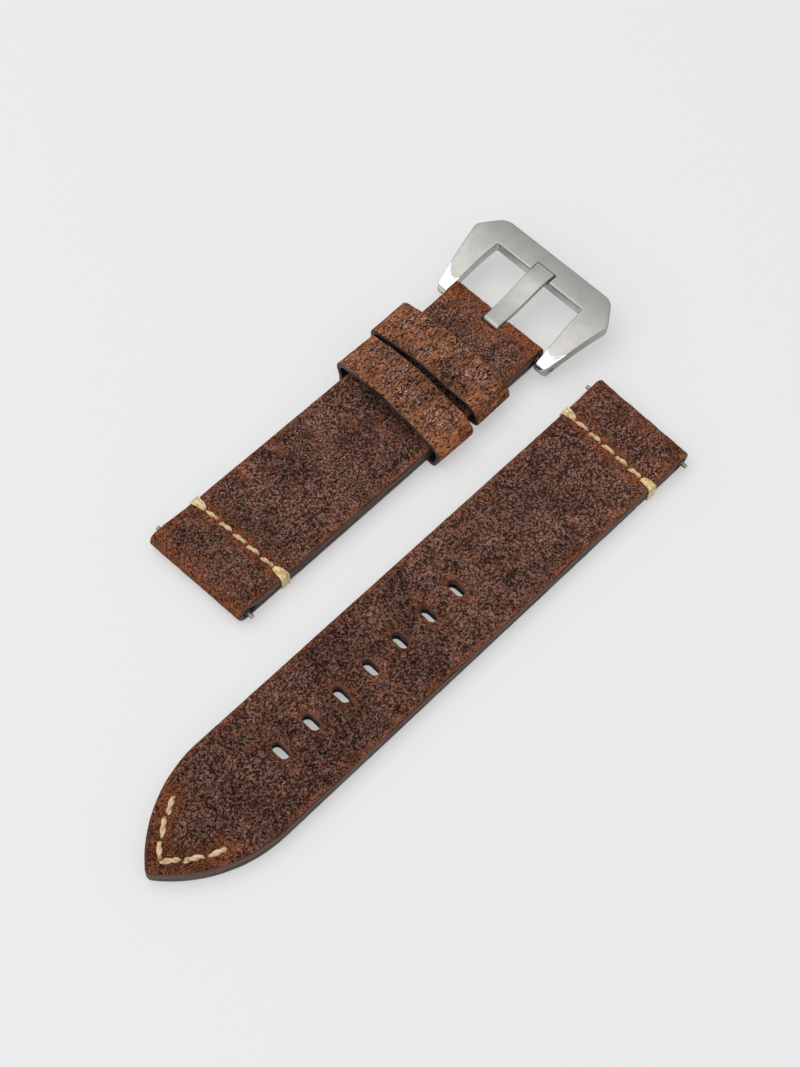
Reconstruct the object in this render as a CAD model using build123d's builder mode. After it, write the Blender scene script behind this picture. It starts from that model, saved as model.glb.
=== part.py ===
from build123d import *
import os
from math import asin, atan2, cos, degrees, hypot, pi, radians, sin

os.makedirs("parts", exist_ok=True)

# Two-piece leather watch strap: steel pin buckle, two keepers and three spring bars.
# Millimetres and degrees. The two halves lie side by side on a flat surface: +X runs along
# the strap towards the buckle, +Y across it, +Z up, origin at the centre of the footprint.
# Each half is drawn in its own directions: along from its lug end, across from its centre
# line, and up from its underside.

# How the halves lie
lug_ends_apart = 81.8          # along the strap
centre_lines_apart = 33.3      # across the strap

# Leather of both halves
lug_width = 22.0
strap_thickness = 3.5
upper_thickness = 1.9
fold_height = 4.1              # over a spring bar
fold_flat = 0.8                # level stretch of the fold before it falls back
fold_blend = 6.0               # length in which it falls back to the strap's thickness
fold_flap = 14.0               # folded under, from the lug end to the lining
bar_hole_clearance = 0.1       # radial

# Tail half
tail_length = 122.9            # from the lug end to the point as it was before rounding
tail_width = 21.0              # where the point starts
tip_length = 20.9
tip_round = 1.2
slot_count = 7
first_slot = 51.0              # from the lug end
slot_pitch = 7.07
slot_across = 3.6
slot_along = 2.2

# Buckle half
buckle_half_length = 78.7
flap_past_keeper = 2.35        # of the end folded under, past the fixed keeper

# Thread
thread_width = 0.8
thread_proud = 0.45            # above the leather
thread_depth = 0.55            # of the thread that lies in a groove underneath
thread_clearance = 0.05        # of the four-sided holes too
stitch_gap = 0.5               # between two stitches on top
lug_stitch_row = 10.4          # from the lug end
row_pitch = 3.36
row_count = 5
wrap_width = 2.0               # of the bundle of thread where it turns round the edge
tip_hole_shares = [            # of half the tail's width, and of the length of its point
    (-0.605, 0.419), (-0.452, 0.579), (-0.233, 0.737), (0.0, 0.861),
    (0.233, 0.737), (0.452, 0.579), (0.605, 0.419),
]

# Spring bars
tube_radius = 0.9
tube_bore_radius = 0.75
tube_inset = 1.4               # from the leather's edge to the end of the tube
tube_crimp = 0.4
tip_radius = 0.4
shaft_radius = 0.57            # of the tip's shaft, as far as the leather's edge
shaft_clearance = 0.05
head_radius = 0.7
head_length = 0.9
lug_tip_reach = 1.2            # out of the leather's edge
buckle_tip_reach = 1.7
spring_wire = 0.18
spring_coil_radius = 0.55
spring_turns = 5
spring_steps = 8               # straight steps in each turn
spring_gap = 0.1

# Buckle frame, from the axis of its spring bar
frame_reach = 17.6
frame_cross_bar = 5.6          # width of the far bar
frame_tip_back = 1.75          # arm ends behind the axis
frame_tip_width = 27.8         # outside, at the arm ends
frame_corner_reach = 12.4
frame_corner_width = 34.0      # outside, before its corners are rounded
frame_far_width = 26.8
frame_arm_opening = 23.1       # between the arm ends
frame_window_width = 21.6      # at the far bar
frame_tip_round = 1.5
frame_corner_round = 1.5
frame_far_round = 3.0
frame_far_top = 4.5            # above the axis
frame_far_thickness = 2.2
frame_window_top = 4.45
frame_window_thickness = 2.3
frame_facet_reach = 3.0        # polished slope on the arm ends
frame_facet_top = 2.2
frame_end_top = 1.0
frame_end_top_back = 1.2
frame_end_drop = 0.3           # the rearmost point lies this far under the axis
frame_end_low = 1.7
frame_end_low_back = 0.8
frame_hole_clearance = 0.08
notch_depth = 1.1
notch_clearance = 0.35
frame_shift = 0.2              # sideways, as it hangs on its bar

# Tongue, from the same axis
tongue_reach = 14.0
tongue_thickness = 1.1
tongue_base_width = 3.7
tongue_tip_width = 4.3
tongue_barrel_radius = 1.75
tongue_bar_clearance = 0.08
tongue_heel = 1.0              # back of the plate, behind the axis
tongue_heel_top = 2.15
tongue_bend = 9.0              # where the plate levels out
tongue_bend_top = 4.2
tongue_seat_gap = 0.05
tongue_side_clearance = 0.3
tongue_swing_clearance = 0.18

# Keepers
keeper_wall = 0.9
keeper_opening = 25.0          # across, inside
keeper_headroom = 1.8          # over the strap, inside, at its sides
keeper_crown = 1.0             # how much higher its middle is
keeper_top_round = 2.0
keeper_bottom_round = 0.5
keeper_under_gap = 0.1
free_keeper_width = 9.0
keeper_gap = 1.25              # between the two keepers, at the centre line
free_keeper_shift = -0.55      # sideways, as it hangs
free_keeper_skew = 1.0
fixed_keeper_width = 9.0
fixed_keeper_back = 14.65      # from the axis of the buckle's bar
fixed_keeper_shift = 0.45
fixed_keeper_skew = -1.3       # turned the other way
tunnel_clearance = 0.1
join_stitch = 3.0
join_stitch_pitch = 3.5

overrun = 5.0                  # how far cuts run past what they cut

# Worked out from the sizes above
half_width = lug_width / 2
nose_radius = fold_height / 2
lining_thickness = strap_thickness - upper_thickness
buckle_bar_place = buckle_half_length - nose_radius
fixed_keeper_middle = buckle_bar_place - fixed_keeper_back
free_keeper_middle = fixed_keeper_middle - (fixed_keeper_width + free_keeper_width) / 2 - keeper_gap
buckle_flap = buckle_half_length - fixed_keeper_middle + fixed_keeper_width / 2 + flap_past_keeper
keeper_top = strap_thickness + keeper_headroom
keeper_depth = keeper_under_gap + keeper_wall
frame_window = frame_reach - frame_cross_bar
hole_width = thread_width + 2 * thread_clearance
row_places = [(number - row_count / 2) * row_pitch for number in range(row_count + 1)]
slot_places = [(first_slot + number * slot_pitch, 0) for number in range(slot_count)]
tip_start = tail_length - tip_length
tip_holes = [(tip_start + far * tip_length, wide * tail_width / 2) for wide, far in tip_hole_shares]

# The buckle half rests on its lug end and on the near edge of the free keeper, so it leans
skew = radians(free_keeper_skew)
skew_run = free_keeper_width / 2 * cos(skew) + (keeper_opening / 2 - keeper_bottom_round) * sin(skew)
rest_run = free_keeper_middle - skew_run - nose_radius
rest_drop = keeper_depth + nose_radius
lean = atan2(rest_drop, rest_run) - asin(nose_radius / hypot(rest_run, rest_drop))
lean_lift = nose_radius * (1 - cos(lean) - sin(lean))
bar_run = buckle_bar_place * cos(lean) - nose_radius * sin(lean)
bar_rise = buckle_bar_place * sin(lean) + nose_radius * cos(lean) + lean_lift

# Plan of the tail: sides that close in a little, then a rounded ogive point
tip_arc = (tip_length ** 2 + tail_width ** 2 / 4) / tail_width
tip_centre = tip_arc - tail_width / 2
tip_half_turn = asin(tip_length / tip_arc) / 2
tip_middle = (tip_start + tip_arc * sin(tip_half_turn), tip_arc * cos(tip_half_turn) - tip_centre)
with BuildSketch() as tail_plan:
    with BuildLine():
        Line((0, 0), (0, half_width))
        Line((0, half_width), (tip_start, tail_width / 2))
        ThreePointArc((tip_start, tail_width / 2), tip_middle, (tail_length, 0))
        Line((tail_length, 0), (0, 0))
    make_face()
    mirror(about=Plane.XZ)
    fillet(tail_plan.vertices().sort_by(Axis.X)[-1], tip_round)

# Plan of the buckle frame: open towards the strap, with slanted far corners
with BuildSketch() as frame_plan:
    with BuildLine():
        FilletPolyline(
            (-frame_tip_back, frame_arm_opening / 2),
            (-frame_tip_back, frame_tip_width / 2),
            (frame_corner_reach, frame_corner_width / 2),
            (frame_reach, frame_far_width / 2),
            (frame_reach, 0),
            radius=[frame_tip_round, frame_corner_round, frame_far_round],
        )
        Polyline(
            (frame_reach, 0),
            (frame_window, 0),
            (frame_window, frame_window_width / 2),
            (-frame_tip_back, frame_arm_opening / 2),
        )
    make_face()
    mirror(about=Plane.XZ)

# Where each half stands
tail_reach = tail_plan.sketch.bounding_box().max.X
frame_half_width = frame_plan.sketch.bounding_box().max.Y
tail_lug_x = (tail_reach + lug_ends_apart - bar_run - frame_reach) / 2
tail_middle_y = (half_width + lug_tip_reach - centre_lines_apart - frame_half_width + frame_shift) / 2
buckle_lug_x = tail_lug_x - lug_ends_apart
buckle_middle_y = tail_middle_y + centre_lines_apart
tail = Plane(origin=(tail_lug_x, tail_middle_y, 0), x_dir=(-1, 0, 0), z_dir=(0, 0, 1))
buckle_side = Plane(
    origin=(buckle_lug_x, buckle_middle_y, lean_lift),
    x_dir=(cos(lean), 0, sin(lean)),
    z_dir=(-sin(lean), 0, cos(lean)),
)
frame_axis = Plane(
    origin=(buckle_lug_x + bar_run, buckle_middle_y, bar_rise),
    x_dir=(1, 0, 0),
    z_dir=(0, 0, 1),
)
frame_middle = Plane(
    origin=frame_axis.from_local_coords((0, -frame_shift, 0)),
    x_dir=frame_axis.x_dir,
    z_dir=frame_axis.z_dir,
)


def side_view(half, along=0, up=0):
    """Plane on which x runs along the strap and y up."""
    return Plane(origin=half.from_local_coords((along, 0, up)), x_dir=half.x_dir, z_dir=-half.y_dir)


def keeper_front(along, across, turn):
    """Plane of a keeper's middle, on which x runs across the strap and y up."""
    turn = radians(turn)
    return Plane(
        origin=buckle_side.from_local_coords((along, across, 0)),
        x_dir=buckle_side.y_dir * cos(turn) + buckle_side.x_dir * sin(turn),
        z_dir=buckle_side.x_dir * cos(turn) - buckle_side.y_dir * sin(turn),
    )


def fold_face(length, flap, far_flap=0):
    """Side view of an upper leather, folded round a bar at its lug end or at both ends."""
    start = nose_radius + fold_flat
    level = start + fold_blend
    with BuildLine() as outline:
        ThreePointArc((nose_radius, 0), (0, nose_radius), (nose_radius, fold_height))
        Line((nose_radius, fold_height), (start, fold_height))
        Spline((start, fold_height), (level, strap_thickness), tangents=((1, 0), (1, 0)))
        if far_flap:
            Line((level, strap_thickness), (length - level, strap_thickness))
            Spline(
                (length - level, strap_thickness),
                (length - start, fold_height),
                tangents=((1, 0), (1, 0)),
            )
            Line((length - start, fold_height), (length - nose_radius, fold_height))
            ThreePointArc(
                (length - nose_radius, fold_height),
                (length, nose_radius),
                (length - nose_radius, 0),
            )
            Line((length - nose_radius, 0), (length - far_flap, 0))
            Line((length - far_flap, 0), (length - far_flap, lining_thickness))
        else:
            Line((level, strap_thickness), (length, strap_thickness))
            Line((length, strap_thickness), (length, lining_thickness))
        Line((length - far_flap, lining_thickness), (flap, lining_thickness))
        Line((flap, lining_thickness), (flap, 0))
        Line((flap, 0), (nose_radius, 0))
    make_face(outline.edges())


def cut_bar_hole(half, along):
    """Tunnel of a spring bar, right across the fold."""
    with BuildSketch(side_view(half, along, nose_radius)) as tunnel:
        Circle(tube_radius + bar_hole_clearance)
    extrude(tunnel.sketch, amount=half_width + overrun, both=True, mode=Mode.SUBTRACT)


def cut_slots(half):
    """Row of slots for the tongue."""
    with BuildSketch(half.offset(-overrun)) as slots:
        with Locations(*slot_places):
            SlotOverall(slot_across, slot_along, rotation=90)
    extrude(slots.sketch, amount=strap_thickness + 2 * overrun, mode=Mode.SUBTRACT)


def thread_shape(length, width, turn):
    """Run of thread seen from above, pointed where it dives into its holes."""
    shoulder = (length - width) / 2
    Polygon(
        (-length / 2, 0),
        (-shoulder, -width / 2),
        (shoulder, -width / 2),
        (length / 2, 0),
        (shoulder, width / 2),
        (-shoulder, width / 2),
        rotation=turn,
    )


def cut_holes(half, places):
    """Thread holes right through the strap, four-sided as an awl cuts them."""
    with BuildSketch(half.offset(-overrun)) as holes:
        with Locations(*places):
            Rectangle(hole_width, hole_width, rotation=45)
    extrude(holes.sketch, amount=fold_height + 2 * overrun, mode=Mode.SUBTRACT)


def row_slot(along, width):
    """Straight run of thread under a row, from its first hole to its last."""
    with Locations((along, 0)):
        Rectangle(width, row_places[-1] - row_places[0] + width)


def wrap_faces(along, grow=0):
    """Fans of thread from the last hole of a row out to each edge of the strap."""
    start = row_places[-1]
    end = half_width + thread_proud + grow
    narrow = thread_width / 2 + grow
    wide = wrap_width / 2 + grow
    for side in (-1, 1):
        with BuildLine() as fan:
            Polyline(
                (along - narrow, side * start),
                (along - wide, side * end),
                (along + wide, side * end),
                (along + narrow, side * start),
                close=True,
            )
        make_face(fan.edges())


def cut_row(half, along, wraps):
    """Holes of a row of stitches and the groove that takes its thread underneath."""
    cut_holes(half, [(along, place) for place in row_places])
    with BuildSketch(half) as groove:
        row_slot(along, hole_width)
        if wraps:
            wrap_faces(along, thread_clearance)
    extrude(groove.sketch, amount=thread_depth + thread_clearance, mode=Mode.SUBTRACT)


def sew_legs(half, places):
    """Thread in the holes, level with the leather on both sides."""
    with BuildSketch(half) as legs:
        with Locations(*places):
            Rectangle(thread_width, thread_width, rotation=45)
    extrude(legs.sketch, amount=strap_thickness)


def sew_row(half, along, wraps):
    """Row of stitches across the strap, with or without wraps round its edges."""
    sew_legs(half, [(along, place) for place in row_places])
    with BuildSketch(half) as lower:
        row_slot(along, thread_width)
        if wraps:
            wrap_faces(along)
    extrude(lower.sketch, amount=thread_depth)
    with BuildSketch(half.offset(strap_thickness)) as upper:
        with Locations((along, 0)):
            with GridLocations(0, row_pitch, 1, row_count):
                thread_shape(row_pitch - stitch_gap, thread_width, 90)
        if wraps:
            wrap_faces(along)
    extrude(upper.sketch, amount=thread_proud)
    if wraps:
        with BuildSketch(half) as edges:
            with Locations((along, half_width + thread_proud / 2), (along, -half_width - thread_proud / 2)):
                Rectangle(wrap_width, thread_proud)
        extrude(edges.sketch, amount=strap_thickness + thread_proud)


def tip_runs(gap, width):
    """Runs of thread from hole to hole round the point, each cut short by the gap."""
    for start, stop in zip(tip_holes, tip_holes[1:]):
        run = hypot(stop[0] - start[0], stop[1] - start[1])
        turn = degrees(atan2(stop[1] - start[1], stop[0] - start[0]))
        with Locations(((start[0] + stop[0]) / 2, (start[1] + stop[1]) / 2)):
            thread_shape(run - gap, width, turn)


def cut_tip_row(half):
    """Thread holes of the point and the groove under them."""
    cut_holes(half, tip_holes)
    with BuildSketch(half) as groove:
        tip_runs(-hole_width, hole_width)
    extrude(groove.sketch, amount=thread_depth + thread_clearance, mode=Mode.SUBTRACT)


def keeper_face(bottom):
    """Inside of a keeper, seen along the strap: round corners and an arched top."""
    wide = keeper_opening / 2
    low = wide - keeper_bottom_round
    high = wide - keeper_top_round
    with BuildLine() as outline:
        Line((-low, bottom), (low, bottom))
        TangentArc((low, bottom), (wide, bottom + keeper_bottom_round), tangent=(1, 0))
        Line((wide, bottom + keeper_bottom_round), (wide, keeper_top - keeper_top_round))
        TangentArc((wide, keeper_top - keeper_top_round), (high, keeper_top), tangent=(0, 1))
        ThreePointArc((high, keeper_top), (0, keeper_top + keeper_crown), (-high, keeper_top))
        TangentArc((-high, keeper_top), (-wide, keeper_top - keeper_top_round), tangent=(-1, 0))
        Line((-wide, keeper_top - keeper_top_round), (-wide, bottom + keeper_bottom_round))
        TangentArc((-wide, bottom + keeper_bottom_round), (-low, bottom), tangent=(0, -1))
    make_face(outline.edges())


def keeper_band(plane, width, bottom):
    """Band of leather closed into a loop round the strap."""
    with BuildSketch(plane) as band:
        keeper_face(bottom)
        offset(amount=keeper_wall)
    extrude(band.sketch, amount=width / 2, both=True)
    with BuildSketch(plane) as inside:
        keeper_face(bottom)
    extrude(inside.sketch, amount=width / 2 + overrun, both=True, mode=Mode.SUBTRACT)


# Tail half: upper leather
with BuildPart() as tail_upper_leather:
    with BuildSketch(side_view(tail)):
        fold_face(tail_length, fold_flap)
    extrude(amount=half_width, both=True)
    with BuildSketch(tail):
        add(tail_plan.sketch)
    extrude(amount=fold_height, mode=Mode.INTERSECT)
    cut_slots(tail)
    cut_bar_hole(tail, nose_radius)
    cut_row(tail, lug_stitch_row, wraps=True)
    cut_tip_row(tail)
tail_upper_leather.part.label = "tail_upper_leather"
export_step(tail_upper_leather.part, "parts/tail_upper_leather.step")

# Tail half: lining
with BuildPart() as tail_lining:
    with BuildSketch(tail):
        add(tail_plan.sketch)
        with Locations((fold_flap / 2, 0)):
            Rectangle(fold_flap, lug_width, mode=Mode.SUBTRACT)
    extrude(amount=lining_thickness)
    cut_slots(tail)
    cut_tip_row(tail)
tail_lining.part.label = "tail_lining"
export_step(tail_lining.part, "parts/tail_lining.step")

# Tail half: row of stitches at the lug end
with BuildPart() as tail_lug_stitches:
    sew_row(tail, lug_stitch_row, wraps=True)
tail_lug_stitches.part.label = "tail_lug_stitches"
export_step(tail_lug_stitches.part, "parts/tail_lug_stitches.step")

# Tail half: stitches round the point
with BuildPart() as tail_tip_stitches:
    sew_legs(tail, tip_holes)
    with BuildSketch(tail):
        tip_runs(-thread_width, thread_width)
    extrude(amount=thread_depth)
    with BuildSketch(tail.offset(strap_thickness)):
        tip_runs(stitch_gap, thread_width)
    extrude(amount=thread_proud)
tail_tip_stitches.part.label = "tail_tip_stitches"
export_step(tail_tip_stitches.part, "parts/tail_tip_stitches.step")

# Buckle half: upper leather, with the tunnel of the fixed keeper and the slot of the tongue
slot_radius = hypot(tongue_heel, tongue_heel_top) + tongue_swing_clearance
slot_width = tongue_base_width + 2 * tongue_side_clearance
tunnel_room = tunnel_clearance + half_width * sin(radians(abs(fixed_keeper_skew)))
with BuildPart() as buckle_side_upper_leather:
    with BuildSketch(side_view(buckle_side)):
        fold_face(buckle_half_length, fold_flap, buckle_flap)
    extrude(amount=half_width, both=True)
    cut_bar_hole(buckle_side, nose_radius)
    cut_bar_hole(buckle_side, buckle_bar_place)
    cut_row(buckle_side, lug_stitch_row, wraps=True)
    cut_row(buckle_side, fixed_keeper_middle, wraps=False)
    with BuildSketch(side_view(buckle_side, fixed_keeper_middle, lining_thickness)):
        Rectangle(fixed_keeper_width + 2 * tunnel_room, keeper_wall + 2 * tunnel_clearance)
    extrude(amount=half_width, both=True, mode=Mode.SUBTRACT)
    with BuildSketch(side_view(buckle_side, buckle_bar_place, nose_radius)):
        Circle(slot_radius)
        with Locations((slot_radius, 0)):
            Rectangle(2 * slot_radius, 2 * slot_radius)
    extrude(amount=slot_width / 2, both=True, mode=Mode.SUBTRACT)
buckle_side_upper_leather.part.label = "buckle_side_upper_leather"
export_step(buckle_side_upper_leather.part, "parts/buckle_side_upper_leather.step")

# Buckle half: lining, between the two folded ends
with BuildPart() as buckle_side_lining:
    with BuildSketch(buckle_side):
        with Locations((fold_flap, 0)):
            Rectangle(
                buckle_half_length - buckle_flap - fold_flap,
                lug_width,
                align=(Align.MIN, Align.CENTER),
            )
    extrude(amount=lining_thickness)
buckle_side_lining.part.label = "buckle_side_lining"
export_step(buckle_side_lining.part, "parts/buckle_side_lining.step")

# Buckle half: row of stitches at the lug end
with BuildPart() as buckle_side_lug_stitches:
    sew_row(buckle_side, lug_stitch_row, wraps=True)
buckle_side_lug_stitches.part.label = "buckle_side_lug_stitches"
export_step(buckle_side_lug_stitches.part, "parts/buckle_side_lug_stitches.step")

# Buckle half: stitches that hold the fixed keeper
with BuildPart() as fixed_keeper_stitches:
    sew_row(buckle_side, fixed_keeper_middle, wraps=False)
fixed_keeper_stitches.part.label = "fixed_keeper_stitches"
export_step(fixed_keeper_stitches.part, "parts/fixed_keeper_stitches.step")

# Fixed keeper: its lower run lies between the upper leather and its folded end
with BuildPart() as fixed_keeper:
    keeper_band(
        keeper_front(fixed_keeper_middle, fixed_keeper_shift, fixed_keeper_skew),
        fixed_keeper_width,
        lining_thickness + keeper_wall / 2,
    )
    with BuildSketch(buckle_side):
        with Locations(*[(fixed_keeper_middle, place) for place in row_places]):
            Rectangle(hole_width, hole_width, rotation=45)
    extrude(amount=strap_thickness, mode=Mode.SUBTRACT)
fixed_keeper.part.label = "fixed_keeper"
export_step(fixed_keeper.part, "parts/fixed_keeper.step")

# Free keeper: slides along the strap and hangs a little askew
free_keeper_front = keeper_front(free_keeper_middle, free_keeper_shift, free_keeper_skew)
free_keeper_floor = Plane(
    origin=free_keeper_front.from_local_coords((0, -keeper_depth, 0)),
    x_dir=free_keeper_front.z_dir,
    z_dir=buckle_side.z_dir,
)
with BuildPart() as free_keeper:
    keeper_band(free_keeper_front, free_keeper_width, -keeper_under_gap)
    with BuildSketch(free_keeper_floor):
        with GridLocations(join_stitch_pitch, 0, 2, 1):
            thread_shape(join_stitch + 2 * thread_clearance, hole_width, 90)
    extrude(amount=thread_depth + thread_clearance, mode=Mode.SUBTRACT)
free_keeper.part.label = "free_keeper"
export_step(free_keeper.part, "parts/free_keeper.step")

# Stitches that close the free keeper underneath
with BuildPart() as free_keeper_stitches:
    with BuildSketch(free_keeper_floor):
        with GridLocations(join_stitch_pitch, 0, 2, 1):
            thread_shape(join_stitch, thread_width, 90)
    extrude(amount=thread_depth)
free_keeper_stitches.part.label = "free_keeper_stitches"
export_step(free_keeper_stitches.part, "parts/free_keeper_stitches.step")

# Spring bars: a crimped tube, two tips with heads inside it and the spring between them
tube_half = half_width - tube_inset
head_end = tube_half - tube_crimp
head_start = head_end - head_length
spring_half = head_start - spring_gap - spring_wire / 2
bars = [
    ("tail_bar", tail, nose_radius, nose_radius, lug_tip_reach),
    ("lug_bar", buckle_side, nose_radius, nose_radius, lug_tip_reach),
    ("buckle_bar", frame_axis, 0, 0, buckle_tip_reach),
]
for bar_name, half, along, up, reach in bars:
    middle = side_view(half, along, up)

    with BuildPart() as bar_tube:
        with BuildSketch(middle):
            Circle(tube_radius)
        extrude(amount=tube_half, both=True)
        with BuildSketch(middle):
            Circle(tube_bore_radius)
        extrude(amount=head_end, both=True, mode=Mode.SUBTRACT)
        with BuildSketch(middle):
            Circle(shaft_radius + shaft_clearance)
        extrude(amount=tube_half, both=True, mode=Mode.SUBTRACT)
    bar_tube.part.label = f"{bar_name}_tube"
    export_step(bar_tube.part, f"parts/{bar_name}_tube.step")

    for side, word in ((1, "left"), (-1, "right")):
        head_plane = Plane(
            origin=half.from_local_coords((along, side * head_start, up)),
            x_dir=half.x_dir,
            z_dir=half.y_dir * side,
        )
        with BuildPart() as bar_tip:
            with BuildSketch(head_plane):
                Circle(head_radius)
            extrude(amount=head_length)
            with BuildSketch(head_plane):
                Circle(shaft_radius)
            extrude(amount=half_width - head_start)
            with BuildSketch(head_plane):
                Circle(tip_radius)
            extrude(amount=half_width + reach - head_start)
        bar_tip.part.label = f"{bar_name}_{word}_tip"
        export_step(bar_tip.part, f"parts/{bar_name}_{word}_tip.step")

    coil_points = []
    for number in range(spring_steps * spring_turns + 1):
        angle = 2 * pi * number / spring_steps
        coil_points.append(half.from_local_coords((
            along + spring_coil_radius * cos(angle),
            spring_half * (2 * number / (spring_steps * spring_turns) - 1),
            up + spring_coil_radius * sin(angle),
        )))
    with BuildPart() as bar_spring:
        with BuildLine() as coil:
            Polyline(*coil_points)
        with BuildSketch(Plane(origin=coil.wire() @ 0, z_dir=coil.wire() % 0)):
            Rectangle(spring_wire, spring_wire)
        sweep(path=coil.wire(), transition=Transition.RIGHT)
    bar_spring.part.label = f"{bar_name}_spring"
    export_step(bar_spring.part, f"parts/{bar_name}_spring.step")

# Buckle frame: arched from the bar up to the far bar, which has a notch for the tongue
far_bottom = frame_far_top - frame_far_thickness
window_bottom = frame_window_top - frame_window_thickness
with BuildPart() as buckle_frame:
    with BuildSketch(side_view(frame_middle)):
        with BuildLine():
            ThreePointArc(
                (frame_facet_reach, frame_facet_top),
                (frame_window, frame_window_top),
                (frame_reach, frame_far_top),
            )
            Line((frame_reach, frame_far_top), (frame_reach, far_bottom))
            ThreePointArc(
                (frame_reach, far_bottom),
                (frame_window, window_bottom),
                (-frame_end_low_back, -frame_end_low),
            )
            ThreePointArc(
                (-frame_end_low_back, -frame_end_low),
                (-frame_tip_back, -frame_end_drop),
                (-frame_end_top_back, frame_end_top),
            )
            Line((-frame_end_top_back, frame_end_top), (frame_facet_reach, frame_facet_top))
        make_face()
    extrude(amount=frame_half_width, both=True)
    with BuildSketch(frame_middle.offset(-frame_reach)):
        add(frame_plan.sketch)
    extrude(amount=2 * frame_reach, mode=Mode.INTERSECT)
    with BuildSketch(side_view(frame_middle)):
        Circle(tip_radius + frame_hole_clearance)
    extrude(amount=frame_half_width, both=True, mode=Mode.SUBTRACT)
    with BuildSketch(frame_middle.offset(frame_far_top - notch_depth)):
        with Locations((tongue_reach + notch_clearance, 0)):
            Rectangle(
                tongue_reach + notch_clearance,
                tongue_tip_width + 2 * notch_clearance,
                align=(Align.MAX, Align.CENTER),
            )
    extrude(amount=overrun, mode=Mode.SUBTRACT)
buckle_frame.part.label = "buckle_frame"
export_step(buckle_frame.part, "parts/buckle_frame.step")

# Tongue: a bent plate on a barrel that turns on the spring bar
tongue_slope = (tongue_bend_top - tongue_heel_top) / (tongue_bend + tongue_heel)
tongue_seat = frame_far_top - notch_depth + tongue_seat_gap
plate_over_bar = tongue_heel_top + tongue_slope * tongue_heel
with BuildPart() as buckle_tongue:
    with BuildSketch(side_view(frame_axis)):
        with BuildLine():
            Line((-tongue_heel, tongue_heel_top), (tongue_bend, tongue_bend_top))
            Spline(
                (tongue_bend, tongue_bend_top),
                (tongue_reach, tongue_seat + tongue_thickness),
                tangents=((1, tongue_slope), (1, 0)),
            )
            Line((tongue_reach, tongue_seat + tongue_thickness), (tongue_reach, tongue_seat))
            Spline(
                (tongue_reach, tongue_seat),
                (tongue_bend, tongue_bend_top - tongue_thickness),
                tangents=((-1, 0), (-1, -tongue_slope)),
            )
            Line((tongue_bend, tongue_bend_top - tongue_thickness), (0, plate_over_bar - tongue_thickness))
            Line((0, plate_over_bar - tongue_thickness), (-tongue_barrel_radius, 0))
            Line((-tongue_barrel_radius, 0), (-tongue_heel, tongue_heel_top))
        make_face()
        Circle(tongue_barrel_radius)
        Circle(tube_radius + tongue_bar_clearance, mode=Mode.SUBTRACT)
    extrude(amount=tongue_tip_width / 2, both=True)
    with BuildSketch(frame_axis.offset(-frame_reach)):
        with BuildLine():
            Polyline(
                (-tongue_barrel_radius, -tongue_base_width / 2),
                (tongue_barrel_radius, -tongue_base_width / 2),
                (tongue_reach, -tongue_tip_width / 2),
                (tongue_reach, tongue_tip_width / 2),
                (tongue_barrel_radius, tongue_base_width / 2),
                (-tongue_barrel_radius, tongue_base_width / 2),
                close=True,
            )
        make_face()
    extrude(amount=2 * frame_reach, mode=Mode.INTERSECT)
buckle_tongue.part.label = "buckle_tongue"
export_step(buckle_tongue.part, "parts/buckle_tongue.step")
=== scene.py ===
import math

import bpy
import numpy as np
from mathutils import Matrix, Vector


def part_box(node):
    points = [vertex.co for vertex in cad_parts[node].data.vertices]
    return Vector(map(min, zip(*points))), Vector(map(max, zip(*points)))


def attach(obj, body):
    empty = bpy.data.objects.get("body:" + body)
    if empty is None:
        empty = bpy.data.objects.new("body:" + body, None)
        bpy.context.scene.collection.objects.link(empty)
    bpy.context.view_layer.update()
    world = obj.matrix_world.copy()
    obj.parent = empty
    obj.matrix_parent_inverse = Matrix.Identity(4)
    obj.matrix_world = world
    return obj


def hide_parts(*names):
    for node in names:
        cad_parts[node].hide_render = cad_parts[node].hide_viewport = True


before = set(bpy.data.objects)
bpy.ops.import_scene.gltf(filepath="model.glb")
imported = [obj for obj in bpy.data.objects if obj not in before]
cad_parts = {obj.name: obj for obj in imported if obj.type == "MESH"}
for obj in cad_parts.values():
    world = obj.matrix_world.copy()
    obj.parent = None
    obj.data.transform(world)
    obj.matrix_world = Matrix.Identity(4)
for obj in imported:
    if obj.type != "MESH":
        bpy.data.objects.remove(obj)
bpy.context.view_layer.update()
print("frame loaded,", len(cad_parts), "nodes")

# Lengths in this script are millimetres where nothing else is said; makeMesh turns them into metres.
millimetre = 0.001


def nodeBox(node):
    low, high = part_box(node)
    return np.array(low) / millimetre, np.array(high) / millimetre


def nodeCentre(node):
    low, high = nodeBox(node)
    return (low + high) / 2


# Sizes that both halves share
strap = {
    "width": 22.0,
    "thickness": 3.5,
    "liningThickness": nodeBox("tail_lining")[1][2],
    "foldHeight": nodeBox("tail_upper_leather")[1][2],
    "foldFlat": 0.8,
    "foldBlend": 6.0,
    "flap": 14.0,
    "barHole": 1.0,
    "seam": 0.03,
    "lip": 0.32,
    "innerLip": 0.12,
    "stitchRow": 10.4,
    "stitchPitch": 3.36,
    "stitchCount": 5,
    "tailSkew": {"row": 0.044, "end": -0.8},
    "buckleSkew": {"row": -0.041, "end": 0.9},
    "endBlend": 9.0,
}
nose = strap["foldHeight"] / 2
halfWidth = strap["width"] / 2
tailBar = nodeCentre("tail_bar_tube")
lugBar = nodeCentre("lug_bar_tube")
buckleBar = nodeCentre("buckle_bar_tube")
lean = math.atan2(buckleBar[2] - lugBar[2], buckleBar[0] - lugBar[0])


# A half's own directions: along from its lug end, across from its middle, up from its underside
def halfFrame(bar, along, across):
    along, across = np.array(along), np.array(across)
    up = np.cross(along, across)
    return {"origin": bar - nose * along - nose * up, "along": along, "across": across, "up": up}


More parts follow.
